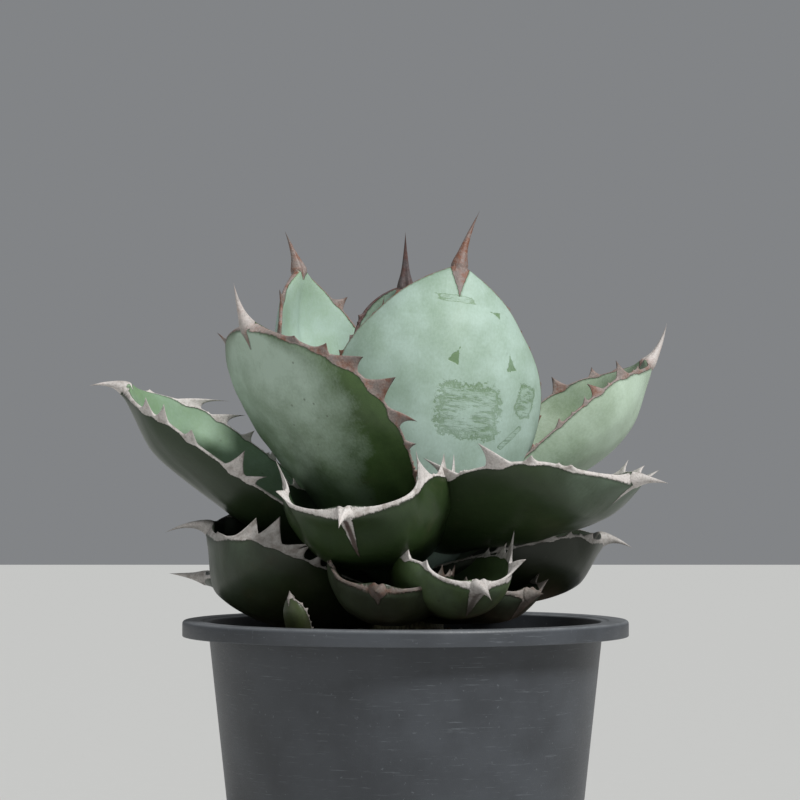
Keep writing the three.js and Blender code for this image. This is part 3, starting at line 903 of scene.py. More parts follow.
class Effects:
    """Node groups for the effects that the finishes share.

    In each of them g is the graph, i holds what the group is given and o takes what it gives back.
    """

    def __init__(self) -> None:
        """Builds every group once."""
        self.flesh = self._flesh()
        self.bloom = self._bloom()
        self.horn = self._horn()
        self.edge = self._edge()
        self.specks = self._specks()
        self.dust = self._dust()
        self.tooth_print = self._tooth_print()
        self.rub = self._rub()

    @staticmethod
    def _begin(name: str, inputs: dict, outputs: dict) -> tuple:
        """Starts a group with named sockets.

        Args:
            name: The group's name.
            inputs: Kind of each socket that the group is given, by name.
            outputs: Kind of each socket that it gives back, by name.

        Returns:
            A graph for the group's tree, the sockets of its input node and those of its output node.
        """
        tree = bpy.data.node_groups.new(name, "ShaderNodeTree")
        kinds = {"value": "NodeSocketFloat", "colour": "NodeSocketColor", "vector": "NodeSocketVector"}
        for label, kind in inputs.items():
            tree.interface.new_socket(label, in_out="INPUT", socket_type=kinds[kind])
        for label, kind in outputs.items():
            tree.interface.new_socket(label, in_out="OUTPUT", socket_type=kinds[kind])
        given, result = tree.nodes.new("NodeGroupInput"), tree.nodes.new("NodeGroupOutput")
        return Graph(tree), given.outputs, result.inputs

    def _flesh(self) -> bpy.types.NodeTree:
        """Builds the green tissue: streaks along the leaf, mottling and fine grain."""
        inputs = {"Vector": "vector", "Light": "colour", "Deep": "colour"}
        inputs |= {"Streaks": "value", "Depth": "value"}
        g, i, o = self._begin("Leaf Flesh", inputs, {"Color": "colour", "Height": "value"})
        at = i["Vector"]
        streak = g.noise(g.stretch(at, (1.0, 0.16, 1.0)), 420, 3, 0.6)
        broad = g.noise(g.stretch(at, (1.0, 0.35, 1.0)), 70, 3, 0.55)
        mottle = g.noise(at, 260, 4, 0.62)
        grain = g.noise(at, 1900, 2, 0.5)
        shade = g.times(g.minus(streak, 0.5), i["Streaks"])
        shade = g.plus(shade, g.times(g.minus(broad, 0.5), 0.75))
        shade = g.plus(shade, g.times(g.minus(mottle, 0.5), 0.55))
        share = g.plus(i["Depth"], shade, clamp=True)
        colour = g.mix(share, i["Deep"], i["Light"])
        g.put(o["Color"], g.shade(colour, g.ramp(grain, 0.3, 0.7, 0.9, 1.1)))
        g.put(o["Height"], g.plus(g.times(streak, 0.5), g.times(mottle, 0.5)))
        return g.tree

    def _bloom(self) -> bpy.types.NodeTree:
        """Builds the pale waxy bloom, rubbed thin in patches."""
        inputs = {"Vector": "vector", "Color": "colour", "Wax": "colour"}
        inputs |= {"Amount": "value", "Rubbed": "value"}
        g, i, o = self._begin("Wax Bloom", inputs, {"Color": "colour", "Cover": "value"})
        at = i["Vector"]
        cloud = g.noise(at, 45, 5, 0.6)
        fine = g.noise(g.stretch(at, (1.0, 0.6, 1.0)), 900, 3, 0.65)
        thin = g.plus(g.ramp(cloud, 0.3, 0.7, -0.18, 0.16), g.ramp(fine, 0.3, 0.7, -0.06, 0.06))
        thin = g.times(thin, g.ramp(i["Amount"], 0.0, 0.35))
        cover = g.plus(i["Amount"], thin)
        cover = g.minus(cover, i["Rubbed"], clamp=True)
        g.put(o["Color"], g.mix(cover, i["Color"], i["Wax"]))
        g.put(o["Cover"], cover)
        return g.tree

    def _horn(self) -> bpy.types.NodeTree:
        """Builds horn: grey-white when old, copper brown when young, darker at its points."""
        inputs = {"Vector": "vector", "Copper": "value", "Purple": "value", "Point": "value"}
        outputs = {"Color": "colour", "Roughness": "value", "Height": "value"}
        g, i, o = self._begin("Horn", inputs, outputs)
        at = i["Vector"]
        fibre = g.noise(at, 900, 4, 0.68)
        patch = g.noise(at, 170, 5, 0.62)
        grey = g.mix(g.ramp(patch, 0.32, 0.62), (0.42, 0.38, 0.35), (0.80, 0.77, 0.74))
        grey = g.mix(g.ramp(fibre, 0.34, 0.5, 0.35, 0.0), grey, (0.18, 0.14, 0.12))
        brown = g.mix(g.ramp(patch, 0.35, 0.65), (0.06, 0.024, 0.017), (0.20, 0.088, 0.055))
        brown = g.mix(g.ramp(fibre, 0.5, 0.75, 0.0, 0.55), brown, (0.50, 0.36, 0.29))
        tint = g.plus(i["Copper"], g.ramp(patch, 0.3, 0.7, -0.25, 0.25), clamp=True)
        colour = g.mix(tint, grey, brown)
        colour = g.mix(i["Purple"], colour, (0.045, 0.037, 0.05))
        dark = g.mix(i["Copper"], (0.16, 0.11, 0.09), (0.035, 0.015, 0.012))
        darkening = g.ramp(i["Copper"], 0.0, 0.9, 0.25, 0.75)
        end = g.times(g.ramp(i["Point"], 0.5, 1.0), darkening)
        g.put(o["Color"], g.mix(end, colour, dark))
        g.put(o["Roughness"], g.ramp(fibre, 0.3, 0.7, 0.42, 0.62))
        g.put(o["Height"], g.plus(fibre, g.times(patch, 0.6)))
        return g.tree

    def _edge(self) -> bpy.types.NodeTree:
        """Builds a ragged mask from a painted distance in millimetres."""
        inputs = {"Vector": "vector", "Distance": "value", "Ragged": "value"}
        g, i, o = self._begin("Ragged Edge", inputs, {"Mask": "value", "Line": "value"})
        wobble = g.minus(g.noise(i["Vector"], 620, 3, 0.6), 0.5)
        distance = g.plus(i["Distance"], g.times(wobble, i["Ragged"]))
        g.put(o["Mask"], g.ramp(distance, -0.22, 0.22))
        line = g.times(g.ramp(distance, -1.1, -0.15), g.ramp(distance, 0.3, -0.1))
        g.put(o["Line"], line)
        return g.tree

    def _tooth_print(self) -> bpy.types.NodeTree:
        """Builds the mask of a tooth's print: a narrow triangle on its base, one wide and one high."""
        g, i, o = self._begin("Tooth Print", {"Vector": "vector", "Own": "vector"}, {"Mask": "value"})
        own_x, own_y = g.part(i["Own"], 0), g.part(i["Own"], 1)
        wobble = g.ramp(g.noise(i["Vector"], 500, 2), 0.3, 0.7, -0.12, 0.12)
        left = g.math("POWER", g.minus(1.0, own_y, clamp=True), 1.4)
        side = g.minus(left, g.math("ABSOLUTE", own_x))
        inside = g.math("MINIMUM", side, g.times(own_y, 2.5))
        inside = g.math("MINIMUM", inside, g.ramp(own_y, 0.8, 1.2, 0.5, -0.5))
        g.put(o["Mask"], g.ramp(g.plus(inside, wobble), -0.04, 0.1))
        return g.tree

    def _rub(self) -> bpy.types.NodeTree:
        """Builds the mask of a rubbed patch: a ragged outline round a streaky middle."""
        g, i, o = self._begin("Rubbed Patch", {"Vector": "vector", "Own": "vector"}, {"Mask": "value"})
        own_x, own_y = g.part(i["Own"], 0), g.part(i["Own"], 1)
        across = g.math("POWER", g.math("ABSOLUTE", own_x), 5)
        along = g.math("POWER", g.math("ABSOLUTE", own_y), 5)
        inside = g.minus(1.0, g.math("POWER", g.plus(across, along), 0.2))
        wobble = g.ramp(g.noise(i["Vector"], 260, 5, 0.72), 0.25, 0.75, -0.2, 0.2)
        inside = g.plus(inside, wobble)
        rim = g.ramp(inside, 0.08, 0.3, 1.0, 0.15)
        streaks = g.noise(g.stretch(i["Vector"], (0.35, 1.7, 1.0)), 330, 5, 0.75)
        middle = g.larger(rim, g.ramp(streaks, 0.46, 0.6, 0.1, 0.95))
        g.put(o["Mask"], g.times(g.ramp(inside, -0.04, 0.08, 0.0, 0.8), middle))
        return g.tree

    def _specks(self) -> bpy.types.NodeTree:
        """Builds scattered scars and corky specks."""
        inputs = {"Vector": "vector", "Amount": "value"}
        g, i, o = self._begin("Scars", inputs, {"Mask": "value", "Dots": "value"})
        at = i["Vector"]
        cells = g.node("TexVoronoi", {"Vector": at, "Scale": 210.0, "Randomness": 1.0})
        pick = g.ramp(g.part(cells.outputs["Color"], 0), 0.86, 0.9)
        dots = g.times(g.ramp(cells.outputs["Distance"], 0.2, 0.08), pick)
        patches = g.ramp(g.noise(at, 38, 5, 0.72), 0.56, 0.7)
        scratch = g.ramp(g.noise(g.stretch(at, (0.25, 1.0, 1.0)), 300, 4, 0.7), 0.62, 0.72)
        mask = g.times(patches, g.plus(scratch, 0.25, clamp=True))
        g.put(o["Mask"], g.times(mask, i["Amount"], clamp=True))
        g.put(o["Dots"], g.times(dots, i["Amount"], clamp=True))
        return g.tree

    def _dust(self) -> bpy.types.NodeTree:
        """Builds pale dust that settles on upward faces, and fine scuffs."""
        inputs = {"Vector": "vector", "Settled": "value", "Scuffs": "value"}
        outputs = {"Dust": "value", "Scuff": "value", "Grain": "value"}
        g, i, o = self._begin("Dust and Scuffs", inputs, outputs)
        at = i["Vector"]
        up = g.part(g.node("NewGeometry").outputs["Normal"], 2)
        cloud = g.noise(at, 60, 5, 0.65)
        fine = g.noise(at, 1500, 3, 0.7)
        dust = g.times(g.ramp(up, 0.1, 0.95), g.ramp(cloud, 0.3, 0.75, 0.35, 1.0))
        dust = g.times(dust, g.ramp(fine, 0.3, 0.65, 0.5, 1.0))
        lines = g.noise(g.stretch(at, (0.3, 0.3, 6.0)), 190, 4, 0.75)
        spots = g.ramp(g.noise(at, 420, 3, 0.6), 0.66, 0.74)
        scuff = g.larger(g.ramp(lines, 0.58, 0.72), spots)
        g.put(o["Dust"], g.times(dust, i["Settled"], clamp=True))
        g.put(o["Scuff"], g.times(scuff, i["Scuffs"], clamp=True))
        g.put(o["Grain"], fine)
        return g.tree


class Finish:
    """Base of the finishes: makes a material with a Principled shader."""

    def start(self, name: str) -> tuple[bpy.types.Material, Graph, bpy.types.Node]:
        """Makes an empty material.

        Args:
            name: The material's name.

        Returns:
            The material, a graph of its tree and its Principled shader.
        """
        material = bpy.data.materials.new(name)
        material.use_nodes = True
        graph = Graph(material.node_tree)
        return material, graph, material.node_tree.nodes["Principled BSDF"]

    @staticmethod
    def bump(
        graph: Graph, shader: bpy.types.Node, height: Input, distance: float, strength: float = 1.0
    ) -> None:
        """Feeds a height to the shader's normal.

        Args:
            graph: The material's graph.
            shader: The shader that gets the normal.
            height: Height socket from 0 to 1.
            distance: Depth of the relief in metres.
            strength: Share of the relief that is used.
        """
        inputs = {"Height": height, "Distance": distance, "Strength": strength}
        graph.put(shader.inputs["Normal"], graph.node("Bump", inputs).outputs["Normal"])


@dataclass(frozen=True)
class LeafSkin(Finish):
    """Leaf tissue with wax bloom, scars, a horny edge and painted shade."""

    effects: Effects
    look: LeafLook
    cork: Colour = (0.15, 0.12, 0.075)
    dots: Colour = (0.05, 0.05, 0.03)
    cleft_brown: Colour = (0.045, 0.018, 0.012)
    # Colour of the painted shade low down near the potting mix, and the heights where it begins and where
    # it is full.
    low_shade_colour: Colour = (0.018, 0.019, 0.010)
    unshaded_above: float = 0.208
    shaded_below: float = 0.168

    def make(self, name: str) -> bpy.types.Material:
        """Builds the material.

        Args:
            name: The material's name.

        Returns:
            The finished material.
        """
        look, fx = self.look, self.effects
        material, g, shader = self.start(name)
        at = g.attribute("skin").outputs["Vector"]
        solid_at = g.node("NewGeometry").outputs["Position"]
        place = g.node("SeparateXYZ", {0: g.attribute("place").outputs["Vector"]}).outputs
        across, share, inner = g.math("ABSOLUTE", place[0]), place[1], place[2]
        scars = g.use(fx.specks, Vector=at, Amount=look.scars).outputs
        edge = g.use(fx.edge, Vector=at, Distance=g.attribute("horn").outputs["Fac"], Ragged=1.1).outputs
        marks = g.times(self._marks(g, at), g.minus(1.0, inner))

        light = g.mix(inner, look.flesh, look.inner or look.flesh)
        depth = g.ramp(share, 0.1, 0.95, 0.3, 0.75)
        flesh = g.use(
            fx.flesh, Vector=at, Light=light, Deep=look.deep, Streaks=look.streaks, Depth=depth
        ).outputs
        wax = g.ramp(share, look.bloom_from, 1.0, look.bloom_base, look.bloom_tip)
        wax = g.blend(inner, wax, look.bloom_inner)
        rubbed = g.plus(g.times(marks, 0.62), g.times(scars["Mask"], 0.5))
        # The wax also thins towards the margins as painted shade, besides the rubbed marks and scars.
        rubbed = g.plus(rubbed, g.ramp(across, 0.5, 1.0, 0.0, look.margin_shade), clamp=True)
        bloom = g.use(
            fx.bloom, Vector=at, Color=flesh["Color"], Wax=look.bloom, Amount=wax, Rubbed=rubbed
        ).outputs

        horn, horn_colour = self._horn(g, at, solid_at, share, inner)
        colour = g.mix(g.times(scars["Mask"], 0.55), bloom["Color"], self.cork)
        colour = g.mix(scars["Dots"], colour, self.dots)
        colour = g.mix(g.times(edge["Line"], 0.5), colour, look.deep)
        colour = g.mix(edge["Mask"], colour, horn_colour)
        # Painted shade: the lower leaves darken near the potting mix, and leaves that sit in shade darken
        # all over.
        colour = g.mix(self._shade(g, at, solid_at), colour, self.low_shade_colour)
        g.put(shader.inputs["Base Color"], colour)

        waxy = g.ramp(bloom["Cover"], 0.0, 0.8, 0.36, 0.6)
        g.put(shader.inputs["Roughness"], g.blend(edge["Mask"], waxy, horn["Roughness"]))
        relief = g.plus(g.times(flesh["Height"], 0.35), g.times(edge["Mask"], 0.7))
        relief = g.plus(relief, g.times(g.times(horn["Height"], edge["Mask"]), 0.45))
        relief = g.minus(relief, g.times(marks, 0.25))
        relief = g.plus(relief, g.times(scars["Mask"], 0.4))
        self.bump(g, shader, relief, 0.0006, 0.8)
        shader.inputs["Specular IOR Level"].default_value = 0.4
        return material

    def _horn(
        self, g: Graph, at: Input, solid_at: Input, share: Input, inner: Input
    ) -> tuple[bpy.types.NodeOutputs, bpy.types.NodeSocket]:
        """Colours the horn, with the dark cleft that runs down the blade's outer face from the spine.

        Args:
            g: The graph of the leaf's material.
            at: Place on the leaf, in metres across and along.
            solid_at: Place in space.
            share: Distance from the base, as a share of the blade.
            inner: 1 on the inner face, 0 on the outer.

        Returns:
            The horn's own sockets, and its colour with the cleft.
        """
        look = self.look
        spine_copper = look.copper if look.spine_copper is None else look.spine_copper
        copper = g.ramp(share, 0.97, 1.03, look.copper, spine_copper)
        point = g.attribute("point").outputs["Fac"]
        horn = g.use(
            self.effects.horn, Vector=solid_at, Copper=copper, Purple=look.purple, Point=point
        ).outputs
        off_middle = g.math("ABSOLUTE", g.part(at, 0))
        cleft = g.times(g.ramp(off_middle, 0.0006, 0.0019, look.cleft, 0.0), g.ramp(share, 1.1, 1.0))
        cleft = g.times(cleft, g.minus(1.0, inner))
        return horn, g.mix(cleft, horn["Color"], self.cleft_brown)

    def _shade(self, g: Graph, at: Input, solid_at: Input) -> bpy.types.NodeSocket:
        """Returns how much painted shade darkens each place, most of all low down near the potting mix.
        """
        cloudy = g.noise(at, 60, 5, 0.65)
        low = g.ramp(g.part(solid_at, 2), self.unshaded_above, self.shaded_below, 0.0, 0.85)
        low = g.times(low, g.ramp(cloudy, 0.35, 0.65, 0.45, 1.0))
        return g.larger(low, g.ramp(cloudy, 0.3, 0.7, self.look.painted_shade, 0.5 * self.look.painted_shade))

    def _marks(self, g: Graph, at: Input) -> Input:
        """Joins every mark that this leaf's neighbours left in its wax.

        Args:
            g: The graph of the leaf's material.
            at: Place on the leaf, in metres across and along.

        Returns:
            A mask that is 1 where the wax is gone, or plain 0 for an unmarked leaf.
        """
        total = 0.0
        for mark in self.look.marks:
            own = g.node("Mapping", {
                "Vector": at,
                "Location": (mark.across * MM, mark.along * MM, 0.0),
                "Rotation": (0.0, 0.0, math.radians(mark.turn)),
                "Scale": (mark.width * MM, mark.height * MM, 1.0),
            }, vector_type="TEXTURE").outputs[0]
            effect = self.effects.rub if mark.ragged else self.effects.tooth_print
            total = g.larger(total, g.use(effect, Vector=at, Own=own).outputs["Mask"])
        return total


@dataclass(frozen=True)
class MouldedPlastic(Finish):
    """Dark grey-blue nursery plastic with dust and scuffs."""

    effects: Effects
    body: Colour = (0.036, 0.040, 0.046)
    worn: Colour = (0.16, 0.175, 0.19)

    def make(self, name: str) -> bpy.types.Material:
        """Builds the material.

        Args:
            name: The material's name.

        Returns:
            The finished material.
        """
        material, g, shader = self.start(name)
        at = g.node("NewGeometry").outputs["Position"]
        dust = g.use(self.effects.dust, Vector=at, Settled=0.7, Scuffs=0.5)
        tone = g.noise(at, 25, 4, 0.6)
        colour = g.mix(g.ramp(tone, 0.3, 0.7), self.body, tuple(1.5 * c for c in self.body))
        wear = g.ramp(g.node("NewGeometry").outputs["Pointiness"], 0.51, 0.56)
        colour = g.mix(g.times(wear, 0.5), colour, self.worn)
        colour = g.mix(dust.outputs["Scuff"], colour, self.worn)
        colour = g.mix(dust.outputs["Dust"], colour, (0.26, 0.27, 0.28))
        g.put(shader.inputs["Base Color"], colour)
        rough = g.plus(0.42, g.times(dust.outputs["Dust"], 0.3))
        rough = g.plus(rough, g.ramp(dust.outputs["Grain"], 0.3, 0.7, -0.04, 0.08))
        g.put(shader.inputs["Roughness"], rough)
        relief = g.plus(dust.outputs["Grain"], g.times(dust.outputs["Scuff"], -0.6))
        self.bump(g, shader, relief, 0.00008, 0.7)
        return material


@dataclass(frozen=True)
class PottingMixSkin(Finish):
    """Brown fibrous potting mix, or the bits of bark and grit in it."""

    bits: bool = False

    def make(self, name: str) -> bpy.types.Material:
        """Builds the material.

        Args:
            name: The material's name.

        Returns:
            The finished material.
        """
        material, g, shader = self.start(name)
        at = g.node("NewGeometry").outputs["Position"]
        rough_noise = g.noise(at, 420, 5, 0.7)
        damp = g.noise(at, 40, 3, 0.6)
        peat = g.mix(g.ramp(rough_noise, 0.35, 0.65), (0.018, 0.011, 0.007), (0.085, 0.055, 0.035))
        if self.bits:
            kind = g.attribute("kind").outputs["Fac"]
            bark = g.mix(g.ramp(rough_noise, 0.3, 0.7), (0.05, 0.028, 0.017), (0.17, 0.095, 0.055))
            pumice = g.mix(g.ramp(rough_noise, 0.3, 0.7), (0.20, 0.185, 0.165), (0.42, 0.40, 0.365))
            colour = g.mix(g.ramp(kind, 0.66, 0.7), bark, pumice)
        else:
            colour = g.mix(g.ramp(damp, 0.4, 0.65), peat, (0.05, 0.034, 0.023))
        g.put(shader.inputs["Base Color"], colour)
        g.put(shader.inputs["Roughness"], g.ramp(rough_noise, 0.3, 0.7, 0.82, 0.97))
        self.bump(g, shader, rough_noise, 0.0012)
        return material


@dataclass(frozen=True)
class StemSkin(Finish):
    """Pale fibrous stem tissue, browner where old leaves have left scars."""

    def make(self, name: str) -> bpy.types.Material:
        """Builds the material.

        Args:
            name: The material's name.

        Returns:
            The finished material.
        """
        material, g, shader = self.start(name)
        at = g.node("NewGeometry").outputs["Position"]
        fibre = g.noise(g.stretch(at, (1.0, 1.0, 0.2)), 700, 4, 0.65)
        ring = g.noise(g.stretch(at, (0.3, 0.3, 1.0)), 170, 3, 0.6)
        colour = g.mix(g.ramp(fibre, 0.3, 0.7), (0.11, 0.10, 0.05), (0.34, 0.33, 0.19))
        colour = g.mix(g.ramp(ring, 0.5, 0.66), colour, (0.12, 0.075, 0.04))
        g.put(shader.inputs["Base Color"], colour)
        g.put(shader.inputs["Roughness"], g.ramp(fibre, 0.3, 0.7, 0.6, 0.85))
        self.bump(g, shader, g.plus(fibre, ring), 0.0008)
        return material


@dataclass(frozen=True)
class PlainStage(Finish):
    """Pale matte paper under the pot."""

    tone: Colour = (0.62, 0.62, 0.60)

    def make(self, name: str) -> bpy.types.Material:
        """Builds the material.

        Args:
            name: The material's name.

        Returns:
            The finished material.
        """
        material, g, shader = self.start(name)
        fine = g.noise(g.node("NewGeometry").outputs["Position"], 60, 3, 0.6)
        dim = tuple(0.97 * c for c in self.tone)
        g.put(shader.inputs["Base Color"], g.mix(fine, dim, self.tone))
        shader.inputs["Roughness"].default_value = 0.9
        return material


# ---- Pot, potting mix and stem -------------------------------------------------------------------


@dataclass
class Pot:
    """A thin round nursery pot with a flat rim, a turned-down lip and drain holes."""

    height: float = 170.0
    rim_diameter: float = 240.0
    lip_width: float = 15.0
    lip_drop: float = 8.5
    foot_diameter: float = 176.0
    wall: float = 1.6
    floor: float = 3.0
    drain_holes: int = 6
    drain_diameter: float = 14.0
    drain_circle: float = 118.0
    foot_ring: float = 7.0
    foot_lift: float = 0.4
    sides: int = 224

    @property
    def mouth(self) -> float:
        """Radius of the mouth."""
        return self.rim_diameter / 2 - self.lip_width

    def inside(self, height: float) -> float:
        """Returns the wall's inner radius at a height above the underside."""
        return lerp(self.foot_diameter / 2 - self.wall, self.mouth, min(max(height / self.height, 0), 1))

    def _profile(self) -> list[tuple[float, float, float]]:
        """Lists the corners of the pot's section, each with the radius that rounds it."""
        rim, foot, under = self.rim_diameter / 2, self.foot_diameter / 2, self.height - self.wall
        return [
            (foot - self.foot_ring, 0, 0.6),
            (foot, 0, 1.6),
            (self.inside(under - 2) + self.wall, under - 2, 1.0),
            (self.inside(under) + self.wall + 1.2, under, 1.0),
            (rim - self.wall, under, 0.8),
            (rim - self.wall, self.height - self.lip_drop, 0.5),
            (rim, self.height - self.lip_drop, 0.5),
            (rim, self.height, 2.0),
            (self.mouth + 4.5, self.height, 1.5),
            (self.mouth + 3.4, self.height - 0.7, 0.8),
            (self.mouth, self.height - 0.7, 1.2),
            (self.inside(self.floor), self.floor, 2.0),
        ]

    @staticmethod
    def rounded(corners: list, steps: int = 5) -> np.ndarray:
        """Rounds the corners of an open outline.

        Args:
            corners: Points, each with the radius that rounds it.
            steps: Points in each rounding.

        Returns:
            The outline's points.
        """
        out = [np.array(corners[0][:2], float)]
        for before, here, after in zip(corners, corners[1:], corners[2:]):
            p, a, b = (np.array(c[:2], float) for c in (here, before, after))
            to_a, to_b = a - p, b - p
            cut = min(here[2], 0.45 * np.linalg.norm(to_a), 0.45 * np.linalg.norm(to_b))
            start, end = p + to_a / np.linalg.norm(to_a) * cut, p + to_b / np.linalg.norm(to_b) * cut
            for t in np.linspace(0, 1, steps):
                out.append((1 - t) ** 2 * start + 2 * t * (1 - t) * p + t * t * end)
        out.append(np.array(corners[-1][:2], float))
        return np.array(out)

    def build(self) -> bpy.types.Object:
        """Makes the pot's shell and drills its drain holes."""
        outline = self.rounded(self._profile())
        turn = np.linspace(0, 2 * math.pi, self.sides, endpoint=False)
        radius, height = outline[:, :1], outline[:, 1:]
        rings = np.stack([radius * np.cos(turn), radius * np.sin(turn), height + 0 * turn], -1)
        pot = MeshMaker.closed("pot_shell", rings, (0, 0, self.foot_lift), (0, 0, self.floor))
        self._drill(pot)
        return pot

    def _drill(self, pot: bpy.types.Object) -> None:
        """Cuts the drain holes through the floor."""
        work = bmesh.new()
        radius = self.drain_diameter / 2 * MM
        for k in range(self.drain_holes):
            angle = 2 * math.pi * k / self.drain_holes
            centre = Vector((math.cos(angle), math.sin(angle), 0)) * (self.drain_circle / 2 * MM)
            made = bmesh.ops.create_cone(
                work, cap_ends=True, segments=40, radius1=radius, radius2=radius, depth=0.02
            )
            bmesh.ops.translate(work, verts=made["verts"], vec=centre)
        mesh = bpy.data.meshes.new("drills")
        work.to_mesh(mesh)
        work.free()
        drills = bpy.data.objects.new("drills", mesh)
        bpy.context.scene.collection.objects.link(drills)
        self._cut(pot, drills)
        bpy.data.objects.remove(drills)

    @staticmethod
    def _cut(piece: bpy.types.Object, tool: bpy.types.Object) -> None:
        """Takes a closed tool's volume away from a closed piece."""
        step = piece.modifiers.new("cut", "BOOLEAN")
        step.operation = "DIFFERENCE"
        step.solver = "MANIFOLD"
        step.object = tool
        graph = bpy.context.evaluated_depsgraph_get()
        result = bpy.data.meshes.new_from_object(piece.evaluated_get(graph), depsgraph=graph)
        piece.modifiers.clear()
        result.materials.clear()
        old = piece.data
        piece.data = result
        result.name = piece.name
        bpy.data.meshes.remove(old)


# Wavelength and height of the lumps in the potting mix.
CRUMBS = ((34, 0.9), (15, 0.7), (7, 0.6), (3.6, 0.35))


@dataclass
class PottingMix:
    """The potting mix that fills the pot, and the bark and grit on top of it."""

    pot: Pot
    stem: StemSizes
    drop: float = 12.0
    mound: float = 5.0
    clearance: float = 0.3
    sides: int = 220
    bits: int = 1500
    grit_from: float = 0.68

    @property
    def level(self) -> float:
        """Height of the mix at the pot's wall."""
        return self.pot.height - self.drop

    def surface(self, radius: np.ndarray) -> np.ndarray:
        """Returns the height of the mix at distances from the pot's axis."""
        hole, edge = self.stem.radius, self.pot.inside(self.level)
        t = np.clip((edge - radius) / (edge - hole), 0, 1)
        return self.level + self.mound * (0.7 * t**2 + 0.3 * t)

    def build(self) -> bpy.types.Object:
        """Makes the closed body of the mix with a crumbly top."""
        rng = np.random.default_rng(41)
        edge = self.pot.inside(self.level) - self.clearance
        radii = np.linspace(4, edge, 66)
        turn = np.linspace(0, 2 * math.pi, self.sides, endpoint=False)
        x, y = radii[:, None] * np.cos(turn), radii[:, None] * np.sin(turn)
        bumps = np.zeros_like(x)
        for size, amount in CRUMBS:
            for _ in range(5):
                angle, phase = rng.uniform(0, 2 * math.pi, 2)
                wave = 2 * math.pi / size
                along = x * math.cos(angle) + y * math.sin(angle)
                bumps += 0.45 * amount * np.sin(wave * along + phase)
        fade = smoothstep(edge - radii, 0.0, 3.0)[:, None]
        top = self.surface(radii)[:, None] + bumps * fade
        low = self.pot.floor + self.clearance
        side_z = np.linspace(self.level, low, 7)[1:]
        side_r = np.array([self.pot.inside(h) - self.clearance for h in side_z])
        side_x, side_y = side_r[:, None] * np.cos(turn), side_r[:, None] * np.sin(turn)
        wall = np.stack([side_x, side_y, side_z[:, None] + 0 * turn], -1)
        rings = np.concatenate([np.stack([x, y, top], -1), wall])
        middle = (0, 0, self.surface(np.zeros(1))[0])
        mix = MeshMaker.closed("potting_mix_body", rings, middle, (0, 0, low))
        return mix

    def build_bits(self) -> bpy.types.Object:
        """Scatters chips of bark and grit on the mix.

        Returns:
            One object that holds every chip, each painted with its kind.
        """
        rng = np.random.default_rng(17)
        work = bmesh.new()
        bmesh.ops.create_icosphere(work, subdivisions=2, radius=1.0)
        ball = np.array([v.co[:] for v in work.verts])
        ball_faces = [[v.index for v in f.verts] for f in work.faces]
        work.free()
        edge = self.pot.inside(self.level) - 4
        points, faces, kinds = [], [], []
        for _ in range(self.bits):
            kind = rng.uniform()
            radius = math.sqrt(rng.uniform((self.stem.radius + 6) ** 2, edge**2))
            angle = rng.uniform(0, 2 * math.pi)
            size = rng.uniform(0.9, 2.2) if kind > self.grit_from else rng.uniform(1.2, 3.6)
            flat = rng.uniform(0.55, 0.9) if kind > self.grit_from else rng.uniform(0.25, 0.5)
            chip = ball * (1 + rng.normal(0, 0.13, (len(ball), 1)))
            long, wide = rng.uniform(0.7, 1.5), rng.uniform(0.5, 0.9)
            chip = chip * size * np.array([long, wide, flat])
            tilt = rng.normal(0, 0.35, 2)
            spin = rng.uniform(0, 2 * math.pi)
            chip = chip @ self._turn(tilt[0], tilt[1], spin).T
            centre = [radius * math.cos(angle), radius * math.sin(angle), 0]
            centre[2] = float(self.surface(np.array([radius]))[0]) + 0.35 * size * flat
            start = len(points) * len(ball)
            points.append(chip + centre)
            faces += [[start + k for k in f] for f in ball_faces]
            kinds.append(np.full(len(ball), kind))
        bits = MeshMaker.build("bark_and_grit", np.concatenate(points) * MM, faces)
        MeshMaker.paint(bits, "kind", np.concatenate(kinds))
        return bits

    @staticmethod
    def _turn(a: float, b: float, c: float) -> np.ndarray:
        """Returns the matrix that turns by three angles about X, Y and Z."""
        rx = np.array([[1, 0, 0], [0, math.cos(a), -math.sin(a)], [0, math.sin(a), math.cos(a)]])
        ry = np.array([[math.cos(b), 0, math.sin(b)], [0, 1, 0], [-math.sin(b), 0, math.cos(b)]])
        rz = np.array([[math.cos(c), -math.sin(c), 0], [math.sin(c), math.cos(c), 0], [0, 0, 1]])
        return rz @ ry @ rx


@dataclass
class Stem:
    """The short stem that carries the rosette, ringed by the scars of old leaves."""

    sizes: StemSizes
    soil_level: float
    sides: int = 120

    def build(self) -> bpy.types.Object:
        """Makes the stem's mesh."""
        rng = np.random.default_rng(5)
        s = self.sizes
        lifts = np.linspace(-s.depth, s.height, 90)
        turn = np.linspace(0, 2 * math.pi, self.sides, endpoint=False)
        radius = np.array([s.radius_at(float(v)) for v in lifts])[:, None] + 0 * turn
        rings = 0.35 * np.sin(lifts[:, None] * 1.15 + 2.4 * np.sin(turn + 0.6) + 1.1 * np.sin(3 * turn))
        lumps = 0.25 * np.sin(5 * turn + lifts[:, None] * 0.21 + rng.uniform(0, 6))
        radius = radius - 0.5 + (rings + lumps) * smoothstep(lifts, -6, 2)[:, None]
        height = self.soil_level + lifts[:, None] + 0 * turn
        body = np.stack([radius * np.cos(turn), radius * np.sin(turn), height], -1)
        top = self.soil_level + s.height + 0.5 * s.crown
        return MeshMaker.closed("stem_tissue", body, (0, 0, height[0, 0]), (0, 0, top))


# ---- The rosette ---------------------------------------------------------------------------------


class Age(Enum):
    """How old a leaf is, from the furled heart to the withered skirt."""

    HEART = "heart"
    YOUNG = "young"
    MATURE = "mature"
    OLD = "old"
    OFFSET = "offset"


